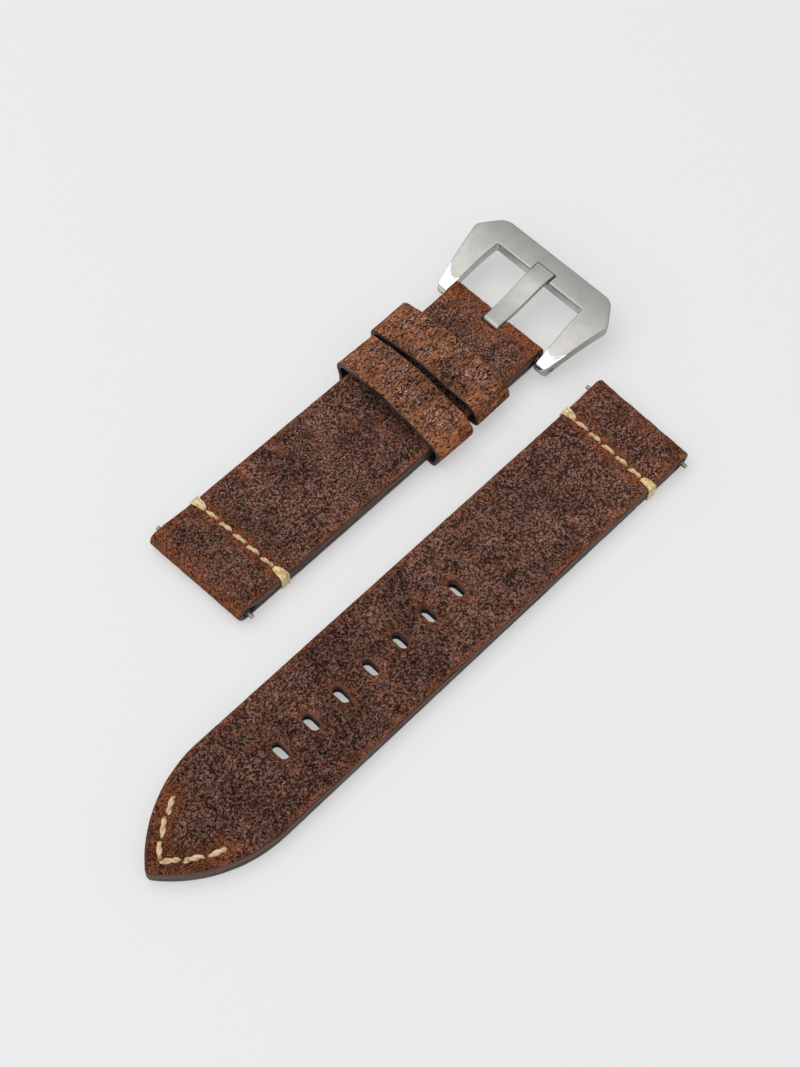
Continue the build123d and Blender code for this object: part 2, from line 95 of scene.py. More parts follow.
tailHalf = halfFrame(tailBar, (-1.0, 0.0, 0.0), (0.0, -1.0, 0.0))
buckleHalf = halfFrame(lugBar, (math.cos(lean), 0.0, math.sin(lean)), (0.0, 1.0, 0.0))
buckleLength = float((buckleBar - lugBar) @ buckleHalf["along"]) + 2 * nose
tailLow, tailHigh = nodeBox("tail_upper_leather")
tailReach = float(tailHigh[0] - tailLow[0])


# Points of a half's own directions in the shared frame, and the other way round
def inRow(half, along, across, up):
    distances = np.broadcast_arrays(along, across, up)
    directions = (half["along"], half["across"], half["up"])
    return half["origin"] + sum(np.multiply.outer(far, way) for far, way in zip(distances, directions))


def inHalf(half, point):
    offset = np.asarray(point) - half["origin"]
    return np.array([offset @ half["along"], offset @ half["across"], offset @ half["up"]])


def smooth(value):
    value = np.clip(value, 0.0, 1.0)
    return value * value * (3 - 2 * value)


def unit(vectors):
    return vectors / np.maximum(np.linalg.norm(vectors, axis=-1, keepdims=True), 1e-9)


# Repeatable noise, from -1 to 1, with lumps of the given size: large primes scramble the number of each cell
scramble = {"cell": (73856093, 19349663, 83492791), "seed": 7919, "spread": 1274126177, "mask": 65535}


def latticeValue(cells, seed):
    x, y, z = (cells[..., axis] * prime for axis, prime in enumerate(scramble["cell"]))
    number = x ^ y ^ z ^ (seed * scramble["seed"])
    number = (number ^ (number >> 13)) * scramble["spread"]
    return ((number ^ (number >> 16)) & scramble["mask"]) / (scramble["mask"] / 2) - 1


def lumps(points, size, seed):
    farFromZero = 1000.0
    place = np.asarray(points) / size + farFromZero
    base = np.floor(place).astype(np.int64)
    ease = smooth(place - base)
    total = 0.0
    for corner in range(8):
        step = np.array([corner & 1, corner >> 1 & 1, corner >> 2 & 1])
        total = total + np.prod(np.where(step, ease, 1 - ease), axis=-1) * latticeValue(base + step, seed)
    return total


def makeMesh(name, points, faces, materials, faceMaterials=None, wear=None, sharpAngle=None):
    mesh = bpy.data.meshes.new(name)
    points = np.array(points)
    points[:, 2] = np.maximum(points[:, 2], 0.0)
    mesh.from_pydata((points * millimetre).tolist(), [], [list(map(int, face)) for face in faces])
    for material in materials:
        mesh.materials.append(material)
    if faceMaterials is not None:
        mesh.polygons.foreach_set("material_index", np.asarray(faceMaterials, np.int32))
    mesh.polygons.foreach_set("use_smooth", np.ones(len(mesh.polygons), bool))
    if wear is not None:
        mesh.attributes.new("wear", "FLOAT", "POINT").data.foreach_set("value", np.asarray(wear, np.float32))
    mesh.update()
    if sharpAngle:
        mesh.set_sharp_from_angle(angle=math.radians(sharpAngle))
    made = bpy.data.objects.new(name, mesh)
    bpy.context.scene.collection.objects.link(made)
    return made


def settle(piece, body, slot, *nodes):
    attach(piece, body)
    if nodes:
        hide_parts(*nodes)
    return piece


# A sheet with thickness: a grid of points on its outer side, one on its inner side, and rounded walls
# wherever the grid ends or has a hole. Materials: outer side, inner side, cut edge, hole wall.
wall = {"turns": (30, 60, 90), "shares": (0.35, 0.65), "ragged": 0.03, "raggedSize": 0.9}


def thickSheet(name, outer, inner, keep, materials, wear, lip, innerLip, seed, bulge=0.03, closed=False):
    rows, columns = outer.shape[:2]
    count = rows * columns
    index = np.arange(count).reshape(rows, columns)
    below = np.roll(index, -1, axis=0) if closed else index[1:]
    above = index if closed else index[:-1]
    quads = np.stack([above[:, :-1], below[:, :-1], below[:, 1:], above[:, 1:]], axis=-1)[keep]
    flat, flatInner = outer.reshape(-1, 3), inner.reshape(-1, 3).copy()
    normals = np.cross(flat[quads[:, 2]] - flat[quads[:, 0]], flat[quads[:, 3]] - flat[quads[:, 1]])
    if np.sum(normals * (flat - flatInner)[quads[:, 0]]) < 0:
        quads = quads[:, ::-1]
    starts = quads.reshape(-1)
    stops = np.roll(quads, -1, axis=1).reshape(-1)
    owner = np.repeat(np.arange(len(quads)), 4)
    edge = ~np.isin(starts * count + stops, stops * count + starts)
    starts, stops, owner = starts[edge], stops[edge], owner[edge]
    centres = flat[quads].mean(axis=1)[owner]
    middles = (flat[starts] + flat[stops]) / 2
    run = unit(flat[stops] - flat[starts])
    deep = unit((flatInner - flat)[starts])
    out = middles - centres
    out -= np.sum(out * run, axis=-1, keepdims=True) * run
    out = unit(out - np.sum(out * deep, axis=-1, keepdims=True) * deep)
    summed = np.zeros((count, 3))
    np.add.at(summed, starts, out)
    np.add.at(summed, stops, out)
    rim = np.unique(starts)
    outward = unit(summed[rim])
    place = {vertex: number for number, vertex in enumerate(rim)}
    top, bottom = flat[rim], flatInner[rim] + outward * (lip - innerLip)
    flatInner[rim] = bottom
    ragged = wall["ragged"] * lumps(top, wall["raggedSize"], seed)[:, None]
    thickness = np.linalg.norm(bottom - top, axis=-1, keepdims=True)
    inward = unit(bottom - outward * (lip - innerLip) - top)
    # each level of the wall: how far it stands out and how deep it lies
    turns = [math.radians(angle) for angle in wall["turns"]]
    steps = [(lip * math.sin(turn), lip * (1 - math.cos(turn))) for turn in turns]
    steps += [(lip + bulge, lip + (thickness - lip - innerLip) * share) for share in wall["shares"]]
    steps += [(lip - innerLip + innerLip * math.sin(turn), thickness - innerLip * (1 - math.cos(turn)))
              for turn in turns[::-1]]
    levels = [top + outward * (reach + ragged) + inward * depth for reach, depth in steps]
    row, column = np.unravel_index(rim, (rows, columns))
    outline = (column == 0) | (column == columns - 1)
    if not closed:
        outline |= (row == 0) | (row == rows - 1)
    faces = [*quads, *(quads[:, ::-1] + count)]
    faceMaterials = [0] * len(quads) + [1] * len(quads)
    base = 2 * count
    for start, stop in zip(starts, stops):
        a, b = place[start], place[stop]
        chain = [(start, stop)]
        chain += [(base + level * len(rim) + a, base + level * len(rim) + b) for level in range(len(levels))]
        chain.append((start + count, stop + count))
        for number, (first, second) in enumerate(zip(chain, chain[1:])):
            faces.append((first[1], first[0], second[0], second[1]))
            faceMaterials.append(0 if number == 0 else (2 if outline[a] or outline[b] else 3))
    points = np.concatenate([flat, flatInner, *levels])
    wearAll = np.concatenate([wear.reshape(-1)] * 2 + [wear.reshape(-1)[rim]] * len(levels))
    used = np.zeros(len(points), bool)
    for face in faces:
        used[list(face)] = True
    renumber = np.cumsum(used) - 1
    faces = [renumber[list(face)] for face in faces]
    return makeMesh(name, points[used], faces, materials, faceMaterials, wearAll[used])


# Materials: a few helpers that add nodes, then one function for each kind of finish
def nodesOf(name):
    material = bpy.data.materials.new(name)
    material.use_nodes = True
    tree = material.node_tree
    shader = tree.nodes["Principled BSDF"]
    return material, tree, shader


def add(tree, kind, inputs=None, **settings):
    node = tree.nodes.new(kind)
    for key, value in settings.items():
        setattr(node, key, value)
    for key, value in (inputs or {}).items():
        if isinstance(value, bpy.types.NodeSocket):
            tree.links.new(value, node.inputs[key])
        else:
            node.inputs[key].default_value = value
    return node


def scaled(tree, x, y=None, z=None):
    place = add(tree, "ShaderNodeTexCoord")
    sizes = (x / millimetre, (y or x) / millimetre, (z or x) / millimetre)
    inputs = {"Vector": place.outputs["Object"], "Scale": sizes}
    return add(tree, "ShaderNodeMapping", inputs).outputs["Vector"]


def noiseOf(tree, vector, scale, detail=3.0, rough=0.55):
    inputs = {"Vector": vector, "Scale": scale, "Detail": detail, "Roughness": rough}
    return add(tree, "ShaderNodeTexNoise", inputs).outputs["Fac"]


def between(tree, value, low, high, start=0.0, stop=1.0):
    inputs = {"Value": value, "From Min": low, "From Max": high, "To Min": start, "To Max": stop}
    return add(tree, "ShaderNodeMapRange", inputs, interpolation_type="SMOOTHSTEP").outputs["Result"]


# Noise whose levels from low to high become start to stop
def clouds(tree, vector, scale, low, high, start=0.0, stop=1.0, detail=3.0, rough=0.55):
    return between(tree, noiseOf(tree, vector, scale, detail, rough), low, high, start, stop)


def sums(tree, operation, first, second):
    return add(tree, "ShaderNodeMath", {0: first, 1: second}, operation=operation).outputs["Value"]


def weighed(tree, first, firstShare, second, secondShare):
    parts = [sums(tree, "MULTIPLY", first, firstShare), sums(tree, "MULTIPLY", second, secondShare)]
    return sums(tree, "ADD", *parts)


def mixed(tree, factor, first, second):
    node = add(tree, "ShaderNodeMix", data_type="RGBA")
    for key, value in ((0, factor), (6, first), (7, second)):
        if isinstance(value, bpy.types.NodeSocket):
            tree.links.new(value, node.inputs[key])
        else:
            node.inputs[key].default_value = value if key == 0 else (*value, 1.0)
    return node.outputs[2]


# Colour, roughness and a bump of the given height, strength and depth
def finished(tree, shader, colour, roughness, height, strength, depth):
    tree.links.new(colour, shader.inputs["Base Color"])
    tree.links.new(roughness, shader.inputs["Roughness"])
    inputs = {"Height": height, "Strength": strength, "Distance": depth * millimetre}
    tree.links.new(add(tree, "ShaderNodeBump", inputs).outputs["Normal"], shader.inputs["Normal"])


leather = {
    "strap": {
        "pit": (0.0030, 0.0010, 0.0010), "ground": (0.044, 0.0135, 0.0110), "strand": (0.480, 0.275, 0.200),
        "wornPit": (0.056, 0.012, 0.005), "wornStrand": (0.40, 0.122, 0.044), "ruddy": (0.064, 0.018, 0.022),
        "patch": 0.16, "patchSize": 0.5, "fleck": 0.7, "dusk": 0.72, "along": 1.0,
    },
    "keeper": {
        "pit": (0.0045, 0.0015, 0.0014), "ground": (0.066, 0.020, 0.015), "strand": (0.600, 0.345, 0.235),
        "wornPit": (0.075, 0.017, 0.006), "wornStrand": (0.48, 0.185, 0.075), "ruddy": (0.070, 0.022, 0.024),
        "patch": 0.74, "patchSize": 0.46, "fleck": 0.3, "dusk": 0.66, "along": 0.36,
    },
}
# The grain is the same on all of it. Clouds are scale, low, high and what follows in the call of clouds.
grain = {
    "slender": 1.12, "wobbleScale": 1.2, "wobble": 1.1, "worm": (2.1, 0.075), "fineWorm": (3.4, 0.090),
    "fineShare": 0.8, "broken": (2.4, 0.42, 0.56, 0.06, 1.0, 1.0),
    "pits": (3.4, 0.45, 0.55, 0.0, 1.0, 1.0, 0.5), "blotch": (0.38, 0.66, 0.0, 1.0, 4.0, 0.62),
    "fleck": (0.42, 0.62, 0.72, 0.0), "speckle": (1.1, 0.22, 0.52), "ruddy": (0.3, 0.50, 0.66),
    "ruddyShare": 0.6, "wornShare": 0.65, "middle": (0.5, 0.3, 0.7, 0.78, 1.14, 3.0, 0.6),
    "large": (0.14, 0.34, 0.62), "largest": 1.16, "lengthwise": (-60.0, 40.0, 0.86, 1.04),
    "roughness": (0.9, 0.68), "shine": 0.04, "pitDepth": 0.8, "dust": (8.0, 2.0), "dustDepth": 0.35,
    "strength": 0.8, "depth": 0.10,
}


def leatherMaterial(name, look):
    material, tree, shader = nodesOf(name)
    place = scaled(tree, 1.0)
    streaky = scaled(tree, look["along"], grain["slender"], grain["slender"])
    inputs = {"Vector": streaky, "Scale": grain["wobbleScale"], "Detail": 1.0}
    wobble = add(tree, "ShaderNodeTexNoise", inputs).outputs["Color"]

    def vectors(operation, inputs):
        return add(tree, "ShaderNodeVectorMath", inputs, operation=operation).outputs[0]

    centred = vectors("SUBTRACT", {0: wobble, 1: (0.5, 0.5, 0.5)})
    moved = vectors("SCALE", {0: centred, "Scale": grain["wobble"]})
    twisted = vectors("ADD", {0: streaky, 1: moved})

    def times(value, share):
        return sums(tree, "MULTIPLY", value, share)

    def worms(vector, scale, width):
        level = sums(tree, "SUBTRACT", noiseOf(tree, vector, scale, 1.0, 0.4), 0.5)
        return between(tree, sums(tree, "ABSOLUTE", level, 0.0), 0.0, width, 1.0, 0.0)

    fineWorms = times(worms(streaky, *grain["fineWorm"]), grain["fineShare"])
    strands = sums(tree, "MAXIMUM", worms(twisted, *grain["worm"]), fineWorms)
    strands = times(strands, clouds(tree, place, *grain["broken"]))
    pits = clouds(tree, twisted, *grain["pits"])
    wear = add(tree, "ShaderNodeAttribute", attribute_name="wear").outputs["Fac"]
    blotch = times(clouds(tree, streaky, look["patchSize"], *grain["blotch"]), look["patch"])
    fleck = clouds(tree, place, *grain["fleck"], look["fleck"], 3.0, 0.6)
    speckled = times(wear, clouds(tree, place, *grain["speckle"]))
    total = sums(tree, "ADD", sums(tree, "MAXIMUM", blotch, fleck), speckled)
    worn = add(tree, "ShaderNodeClamp", {"Value": total}).outputs["Result"]
    ground = mixed(tree, pits, look["pit"], look["ground"])
    ruddy = times(clouds(tree, place, *grain["ruddy"]), grain["ruddyShare"])
    dark = mixed(tree, strands, mixed(tree, ruddy, ground, look["ruddy"]), look["strand"])
    wornGround = mixed(tree, pits, look["wornPit"], look["wornStrand"])
    light = mixed(tree, times(strands, grain["wornShare"]), wornGround, look["wornStrand"])
    colour = mixed(tree, worn, dark, light)
    shade = clouds(tree, place, *grain["large"], look["dusk"], grain["largest"], 3.0, 0.6)
    shade = times(shade, clouds(tree, streaky, *grain["middle"]))
    split = add(tree, "ShaderNodeSeparateXYZ", {0: place}).outputs["X"]
    shade = times(shade, between(tree, split, *grain["lengthwise"]))
    bright = add(tree, "ShaderNodeHueSaturation", {"Color": colour, "Value": shade}).outputs["Color"]
    shader.inputs["Specular IOR Level"].default_value = grain["shine"]
    height = sums(tree, "ADD", strands, times(pits, grain["pitDepth"]))
    height = sums(tree, "ADD", height, times(noiseOf(tree, place, *grain["dust"]), grain["dustDepth"]))
    roughness = between(tree, strands, 0.0, 1.0, *grain["roughness"])
    finished(tree, shader, bright, roughness, height, grain["strength"], grain["depth"])
    return material


# Cut edges and the inside of holes: layers along the sheet with pale flecks
edges = {
    "burnished": {"dark": (0.044, 0.019, 0.014), "mid": (0.120, 0.068, 0.054), "pale": (0.24, 0.165, 0.140)},
    # raw: the keepers' cut edges, their own edge colour darkened as painted shade
    "raw": {"dark": (0.022, 0.013, 0.011), "mid": (0.085, 0.058, 0.048), "pale": (0.30, 0.25, 0.215)},
    "hole": {"dark": (0.075, 0.034, 0.024), "mid": (0.19, 0.090, 0.062), "pale": (0.34, 0.18, 0.12)},
    "shade": {"dark": (0.006, 0.003, 0.0025), "mid": (0.012, 0.006, 0.005), "pale": (0.03, 0.015, 0.012)},
    # inside: near-black painted shade for the keepers' inner side, seen in the gap over the strap
    "inside": {"dark": (0.010, 0.009, 0.009), "mid": (0.02, 0.017, 0.016), "pale": (0.045, 0.04, 0.037)},
    "fibre": {"dark": (0.16, 0.055, 0.02), "mid": (0.30, 0.12, 0.045), "pale": (0.45, 0.22, 0.10)},
}
layers = {
    "banded": (0.15, 0.15, 1.6), "bands": (0.35, 0.62), "fine": (1.2, 1.2, 4.0),
    "flecks": (0.58, 0.78, 0.0, 0.55), "roughness": (0.3, 0.7, 0.36, 0.55), "shine": 0.2,
    "strength": 0.35, "depth": 0.05,
}


def edgeMaterial(name, look):
    material, tree, shader = nodesOf(name)
    fine = noiseOf(tree, scaled(tree, *layers["fine"]), 1.0)
    bands = clouds(tree, scaled(tree, *layers["banded"]), 1.0, *layers["bands"])
    colour = mixed(tree, bands, look["dark"], look["mid"])
    colour = mixed(tree, between(tree, fine, *layers["flecks"]), colour, look["pale"])
    shader.inputs["Specular IOR Level"].default_value = layers["shine"]
    roughness = between(tree, fine, *layers["roughness"])
    finished(tree, shader, colour, roughness, fine, layers["strength"], layers["depth"])
    return material


liningLook = {
    "dark": (0.050, 0.026, 0.018), "pale": (0.115, 0.066, 0.044), "creases": 1.1, "creaseWidth": 0.12,
    "creaseShare": 0.45, "cloud": (0.4, 4.0, 0.6), "levels": (0.3, 0.7), "roughness": (0.5, 0.68),
    "strength": 0.4, "depth": 0.06,
}


def liningMaterial(name, look):
    material, tree, shader = nodesOf(name)
    place = scaled(tree, 1.0)
    inputs = {"Vector": place, "Scale": look["creases"]}
    creases = add(tree, "ShaderNodeTexVoronoi", inputs, feature="DISTANCE_TO_EDGE").outputs["Distance"]
    pebbles = between(tree, creases, 0.0, look["creaseWidth"])
    cloud = noiseOf(tree, place, *look["cloud"])
    colour = mixed(tree, between(tree, cloud, *look["levels"]), look["dark"], look["pale"])
    colour = mixed(tree, between(tree, pebbles, 0.0, 1.0, look["creaseShare"], 0.0), colour, look["dark"])
    roughness = between(tree, cloud, *look["levels"], *look["roughness"])
    finished(tree, shader, colour, roughness, pebbles, look["strength"], look["depth"])
    return material


threadLook = {
    "stitch": {"deep": (0.40, 0.22, 0.085), "pale": (0.76, 0.56, 0.33)},
    "wrap": {"deep": (0.36, 0.21, 0.06), "pale": (0.88, 0.69, 0.37)},
}
fluff = {
    "fibre": (5.0, 3.0, 0.6), "cloud": (0.9, 2.0), "share": 0.6, "levels": (0.42, 0.66),
    "roughness": (0.3, 0.7, 0.7, 0.5), "sheen": 0.25, "sheenRoughness": 0.5, "strength": 0.5, "depth": 0.05,
}


def threadMaterial(name, look):
    material, tree, shader = nodesOf(name)
    place = scaled(tree, 1.0)
    fibre = noiseOf(tree, place, *fluff["fibre"])
    total = weighed(tree, fibre, fluff["share"], noiseOf(tree, place, *fluff["cloud"]), fluff["share"])
    colour = mixed(tree, between(tree, total, *fluff["levels"]), look["deep"], look["pale"])
    shader.inputs["Sheen Weight"].default_value = fluff["sheen"]
    shader.inputs["Sheen Roughness"].default_value = fluff["sheenRoughness"]
    roughness = between(tree, fibre, *fluff["roughness"])
    finished(tree, shader, colour, roughness, fibre, fluff["strength"], fluff["depth"])
    return material


steelLook = {
    "satin": {"low": (0.445, 0.433, 0.395), "high": (0.49, 0.478, 0.44), "rough": (0.5, 0.44), "bump": 0.006},
    "polished": {"low": (0.78, 0.78, 0.78), "high": (0.86, 0.86, 0.86), "rough": (0.24, 0.18), "bump": 0.002},
    # inner: polished steel of the window's inner wall, coloured lighter as a painted reflection of the floor
    "inner": {"low": (0.58, 0.57, 0.54), "high": (0.70, 0.69, 0.66), "rough": (0.24, 0.14), "bump": 0.002},
    "bar": {"low": (0.20, 0.195, 0.18), "high": (0.38, 0.375, 0.36), "rough": (0.38, 0.24), "bump": 0.008},
}
brush = {
    "stretch": (0.5, 6.0, 6.0), "lines": (1.0, 3.0, 0.6), "cloud": (0.35, 4.0, 0.6), "specks": (9.0, 2.0),
    "lineShare": 0.35, "cloudShare": 0.65, "levels": (0.36, 0.64), "lineDepth": 0.5, "strength": 0.5,
}


def steelMaterial(name, look):
    material, tree, shader = nodesOf(name)
    place = scaled(tree, 1.0)
    lines = noiseOf(tree, scaled(tree, *brush["stretch"]), *brush["lines"])
    cloud = noiseOf(tree, place, *brush["cloud"])
    total = weighed(tree, lines, brush["lineShare"], cloud, brush["cloudShare"])
    colour = mixed(tree, between(tree, total, *brush["levels"]), look["low"], look["high"])
    roughness = between(tree, total, *brush["levels"], *look["rough"])
    shader.inputs["Metallic"].default_value = 1.0
    height = sums(tree, "MULTIPLY", lines, brush["lineDepth"])
    height = sums(tree, "ADD", height, noiseOf(tree, place, *brush["specks"]))
    finished(tree, shader, colour, roughness, height, brush["strength"], look["bump"])
    return material


strapLeather = leatherMaterial("strapLeather", leather["strap"])
keeperLeather = leatherMaterial("keeperLeather", leather["keeper"])
burnishedEdge = edgeMaterial("burnishedEdge", edges["burnished"])
# the keepers' cut edges: real edge colour, darkened as painted shade
rawEdgeAndShade = edgeMaterial("rawEdgeAndShade", edges["raw"])
holeEdge = edgeMaterial("holeEdge", edges["hole"])
holeShade = edgeMaterial("holeShade", edges["shade"])
keeperInsideShade = edgeMaterial("keeperInsideShade", edges["inside"])
fibreLeather = edgeMaterial("fibreLeather", edges["fibre"])
liningLeather = liningMaterial("liningLeather", liningLook)
stitchThread = threadMaterial("stitchThread", threadLook["stitch"])
wrapThread = threadMaterial("wrapThread", threadLook["wrap"])
satinSteel = steelMaterial("satinSteel", steelLook["satin"])
polishedSteel = steelMaterial("polishedSteel", steelLook["polished"])
innerSteelPaintedLight = steelMaterial("innerSteelPaintedLight", steelLook["inner"])
barSteel = steelMaterial("barSteel", steelLook["bar"])
print("materials made")


# Side view of an upper leather: stations from the end of its flap round the lug bar and along the top,
# and for the buckle half round the buckle's bar and back underneath
onFlap, onLugTurn, onTop, onFarTurn, onFarFlap = range(5)
fold = {
    "flapSteps": 38, "turnSteps": 19, "farSteps": 56, "turnPlay": 0.1, "meetFrom": 0.3, "meetOver": 2.4,
    "tunnelEnd": 0.7,
}


# The layers part round a bar and meet again a little further on
def innerDrop(away):
    return smooth((away - fold["meetFrom"]) / fold["meetOver"])


def topHeight(along, length, farFold):
    away = min(along, length - along) if farFold else along
    rise = strap["foldHeight"] - strap["thickness"]
    return strap["thickness"] + rise * (1 - smooth((away - nose - strap["foldFlat"]) / strap["foldBlend"]))


def roundBar(bar, side, zone):
    hole = strap["barHole"]
    rows = []
    for turn in np.radians(np.linspace(0, 180, fold["turnSteps"])):
        far, high = side * math.sin(turn), side * math.cos(turn)
        rows.append((bar + nose * far, nose + nose * high, bar + hole * far, nose + hole * high, zone))
    return rows


# Each station: outer side along and up, inner side along and up, zone
def stations(length, topStations, farFlap=0.0, tunnel=None):
    lining, seam = strap["liningThickness"], strap["seam"]
    lowGap, highGap = nose - strap["barHole"], nose + strap["barHole"]

    def opened(along):
        return 1 - smooth((abs(along - tunnel["middle"]) - tunnel["half"]) / fold["tunnelEnd"])

    rows = []
    for along in np.linspace(strap["flap"], nose, fold["flapSteps"])[:-1]:
        low = lowGap + (lining - seam - lowGap) * innerDrop(along - nose)
        rows.append((along, 0.0, along, low, onFlap))
    rows += roundBar(nose, -1, onLugTurn)
    last = length - nose - fold["turnPlay"] if farFlap else length + 1
    for along in topStations[(topStations > nose + fold["turnPlay"]) & (topStations < last)]:
        away = min(along - nose, length - nose - along) if farFlap else along - nose
        high = highGap + (lining + seam - highGap) * innerDrop(away)
        if tunnel:
            high = max(high, lining + seam + (tunnel["top"] - lining) * opened(along))
        rows.append((along, topHeight(along, length, farFlap > 0), along, high, onTop))
    if farFlap:
        rows += roundBar(length - nose, 1, onFarTurn)
        for along in np.linspace(length - nose, length - farFlap, fold["farSteps"])[1:]:
            low = lowGap + (lining - seam - lowGap) * innerDrop(length - nose - along)
            low = min(low, lining - seam - (lining - tunnel["bottom"]) * opened(along))
            rows.append((along, 0.0, along, low, onFarFlap))
    return np.array(rows)


rowPlaces = (np.arange(strap["stitchCount"] + 1) - strap["stitchCount"] / 2) * strap["stitchPitch"]


# Plan of the tail: sides that close in, an ogive and a rounded tip, drawn in by the given inset
tail = {
    "tipStart": 102.0, "tipWidth": 21.0, "tipLength": 20.9, "tipRound": 1.2, "firstSlot": 51.0,
    "slotPitch": 7.07, "slotCount": 7, "slotAcross": 3.9, "slotAlong": 2.2, "slotLip": 0.15,
    "slotMargin": 2.5, "slotDip": (0.07, 0.4), "slotWear": (1.5, 1.5, 0.62), "holeWear": (1.5, 0.8),
    "betweenWear": (1.5, 0.7), "lastWear": (1.9, 0.8), "columns": 69, "stations": (0.26, 0.42),
    "end": (1.2, 0.07, 1.0),
    "tipHoles": [(-0.605, 0.419), (-0.452, 0.579), (-0.233, 0.737), (0.0, 0.861),
                 (0.233, 0.737), (0.452, 0.579), (0.605, 0.419)],
}
tipArc = (tail["tipLength"] ** 2 + tail["tipWidth"] ** 2 / 4) / tail["tipWidth"]
tipSide = tipArc - tail["tipWidth"] / 2
tipCentre = tail["tipStart"] + math.sqrt((tipArc - tail["tipRound"]) ** 2 - tipSide ** 2)


def tailHalfWidth(along, inset):
    along = np.asarray(along, float)
    straight = halfWidth + (tail["tipWidth"] / 2 - halfWidth) * along / tail["tipStart"] - inset
    past = np.clip(along - tail["tipStart"], 0, None)
    ogive = np.sqrt(np.maximum((tipArc - inset) ** 2 - past ** 2, 0.0)) - tipSide
    small = tail["tipRound"] - inset
    touch = tipCentre + small * (tipCentre - tail["tipStart"]) / (tipArc - tail["tipRound"])
    tip = np.sqrt(np.maximum(small ** 2 - (along - tipCentre) ** 2, 0.0))
    return np.where(along < tail["tipStart"], straight, np.where(along < touch, ogive, tip))


# Stations along the tail, closer together where the slots are, and round the tip
def tailStations(fine, coarse, inset):
    first = tail["firstSlot"] - tail["slotMargin"]
    last = tail["firstSlot"] + (tail["slotCount"] - 1) * tail["slotPitch"] + tail["slotMargin"]
    tip = tipCentre + (tail["tipRound"] - inset) * np.sin(np.radians(np.linspace(0, 80, 9)))
    plain, beyond = np.arange(0.0, first, coarse), np.arange(last, tipCentre - coarse, coarse)
    return np.concatenate([plain, np.arange(first, last, fine), beyond, tip])


def slotDistance(along, across):
    straight = (tail["slotAcross"] - tail["slotAlong"]) / 2
    distances = []
    for number in range(tail["slotCount"]):
        offset = along - (tail["firstSlot"] + number * tail["slotPitch"])
        distances.append(np.hypot(offset, np.maximum(np.abs(across) - straight, 0)) - tail["slotAlong"] / 2)
    return np.min(distances, axis=0)


# Takes the faces inside a slot away and moves the points round it onto its outline
def openSlots(along, across, lip, allowed):
    distance = slotDistance(along, across) - lip
    middle = (distance[:-1, :-1] + distance[1:, :-1] + distance[:-1, 1:] + distance[1:, 1:]) / 4
    removed = (middle < 0) & allowed
    touched, kept = np.zeros(along.shape, bool), np.zeros(along.shape, bool)
    rows, columns = removed.shape
    for rowStep in (0, 1):
        for columnStep in (0, 1):
            part = (slice(rowStep, rows + rowStep), slice(columnStep, columns + columnStep))
            touched[part] |= removed
            kept[part] |= ~removed
    rimPoints = touched & kept
    step, rounds = 0.01, 3
    for _ in range(rounds):
        distance = slotDistance(along, across) - lip
        slopeAlong = (slotDistance(along + step, across) - lip - distance) / step
        slopeAcross = (slotDistance(along, across + step) - lip - distance) / step
        along = np.where(rimPoints, along - distance * slopeAlong, along)
        across = np.where(rimPoints, across - distance * slopeAcross, across)
    return along, across, ~removed


# Columns across a half: evenly spaced, with closer ones at the edges and any that a cut needs
def columnShares(count, extra=()):
    even = np.linspace(-1, 1, count)
    closer = [-0.985, 0.985]
    return np.unique(np.round(np.concatenate([even, closer, extra]), 5))


# How far a place lies from the row of stitches, which runs a little askew
def fromRow(along, across, skew):
    return along - strap["stitchRow"] - skew["row"] * across


# Wear of the tanned surface: rubbed along the edges and fold, and round holes and stitches. A pair is the
# least share and what noise adds to it.
rub = {
    "patchSize": 3.2, "fineSize": 1.1, "sideReach": 0.55, "side": (0.25, 0.6), "lugReach": 1.9,
    "lug": (0.35, 0.7), "rowReach": (1.0, 1.1), "row": (0.55, 0.8), "rowEnd": 10.2, "rowFade": 1.5,
    "spot": 0.12, "spotFrom": 0.8, "foldReach": (2.6, 3.2), "fold": (0.55, 0.7),
}


def wearOf(along, across, width, length, places, farFold, skew):
    spots = np.stack([along, across, np.zeros_like(along)], axis=-1)
    patch = 0.5 + 0.5 * lumps(spots, rub["patchSize"], 5)
    fine = 0.5 + 0.5 * lumps(spots, rub["fineSize"], 6)

    def level(key, noise):
        return rub[key][0] + rub[key][1] * noise

    side = np.exp(-np.maximum(width - np.abs(across), 0) / rub["sideReach"]) * level("side", patch)
    lug = np.exp(-np.maximum(along, 0) / rub["lugReach"]) * level("lug", fine)
    row = np.exp(-(fromRow(along, across, skew) / level("rowReach", fine)) ** 2) * level("row", patch)
    row = row * smooth((rub["rowEnd"] - np.abs(across)) / rub["rowFade"])
    total = side + lug + row + rub["spot"] * (patch > rub["spotFrom"])
    for spotAlong, spotAcross, reach, amount in places:
        total = total + amount * np.exp(-(np.hypot(along - spotAlong, across - spotAcross) / reach) ** 2)
    if farFold:
        away = np.maximum(length - along, 0)
        total = total + np.exp(-(away / level("foldReach", patch)) ** 2) * level("fold", fine)
    return np.clip(total, 0, 1)


# Height of the tanned surface over its plain shape: grain, dimples at thread holes and a dip along the rows.
# A pair is a height or depth and its size.
surface = {
    "bumps": ((0.035, 0.75), (0.05, 2.6), (0.06, 9.0)), "holes": ((0.36, 0.42), (0.10, 1.3)),
    "row": (0.10, 0.7), "groove": (0.55, 0.55),
}


def bumpy(points, bumps, seed):
    return sum(high * lumps(points, size, seed + number) for number, (high, size) in enumerate(bumps))


def reliefOf(points, along, across, holes, skew):
    height = bumpy(points, surface["bumps"], 11)
    for holeAlong, holeAcross in holes:
        away = np.hypot(along - holeAlong, across - holeAcross)
        for deep, reach in surface["holes"]:
            height = height - deep * np.exp(-(away / reach) ** 2)
    deep, reach = surface["row"]
    return height - deep * np.exp(-(fromRow(along, across, skew) / reach) ** 2)


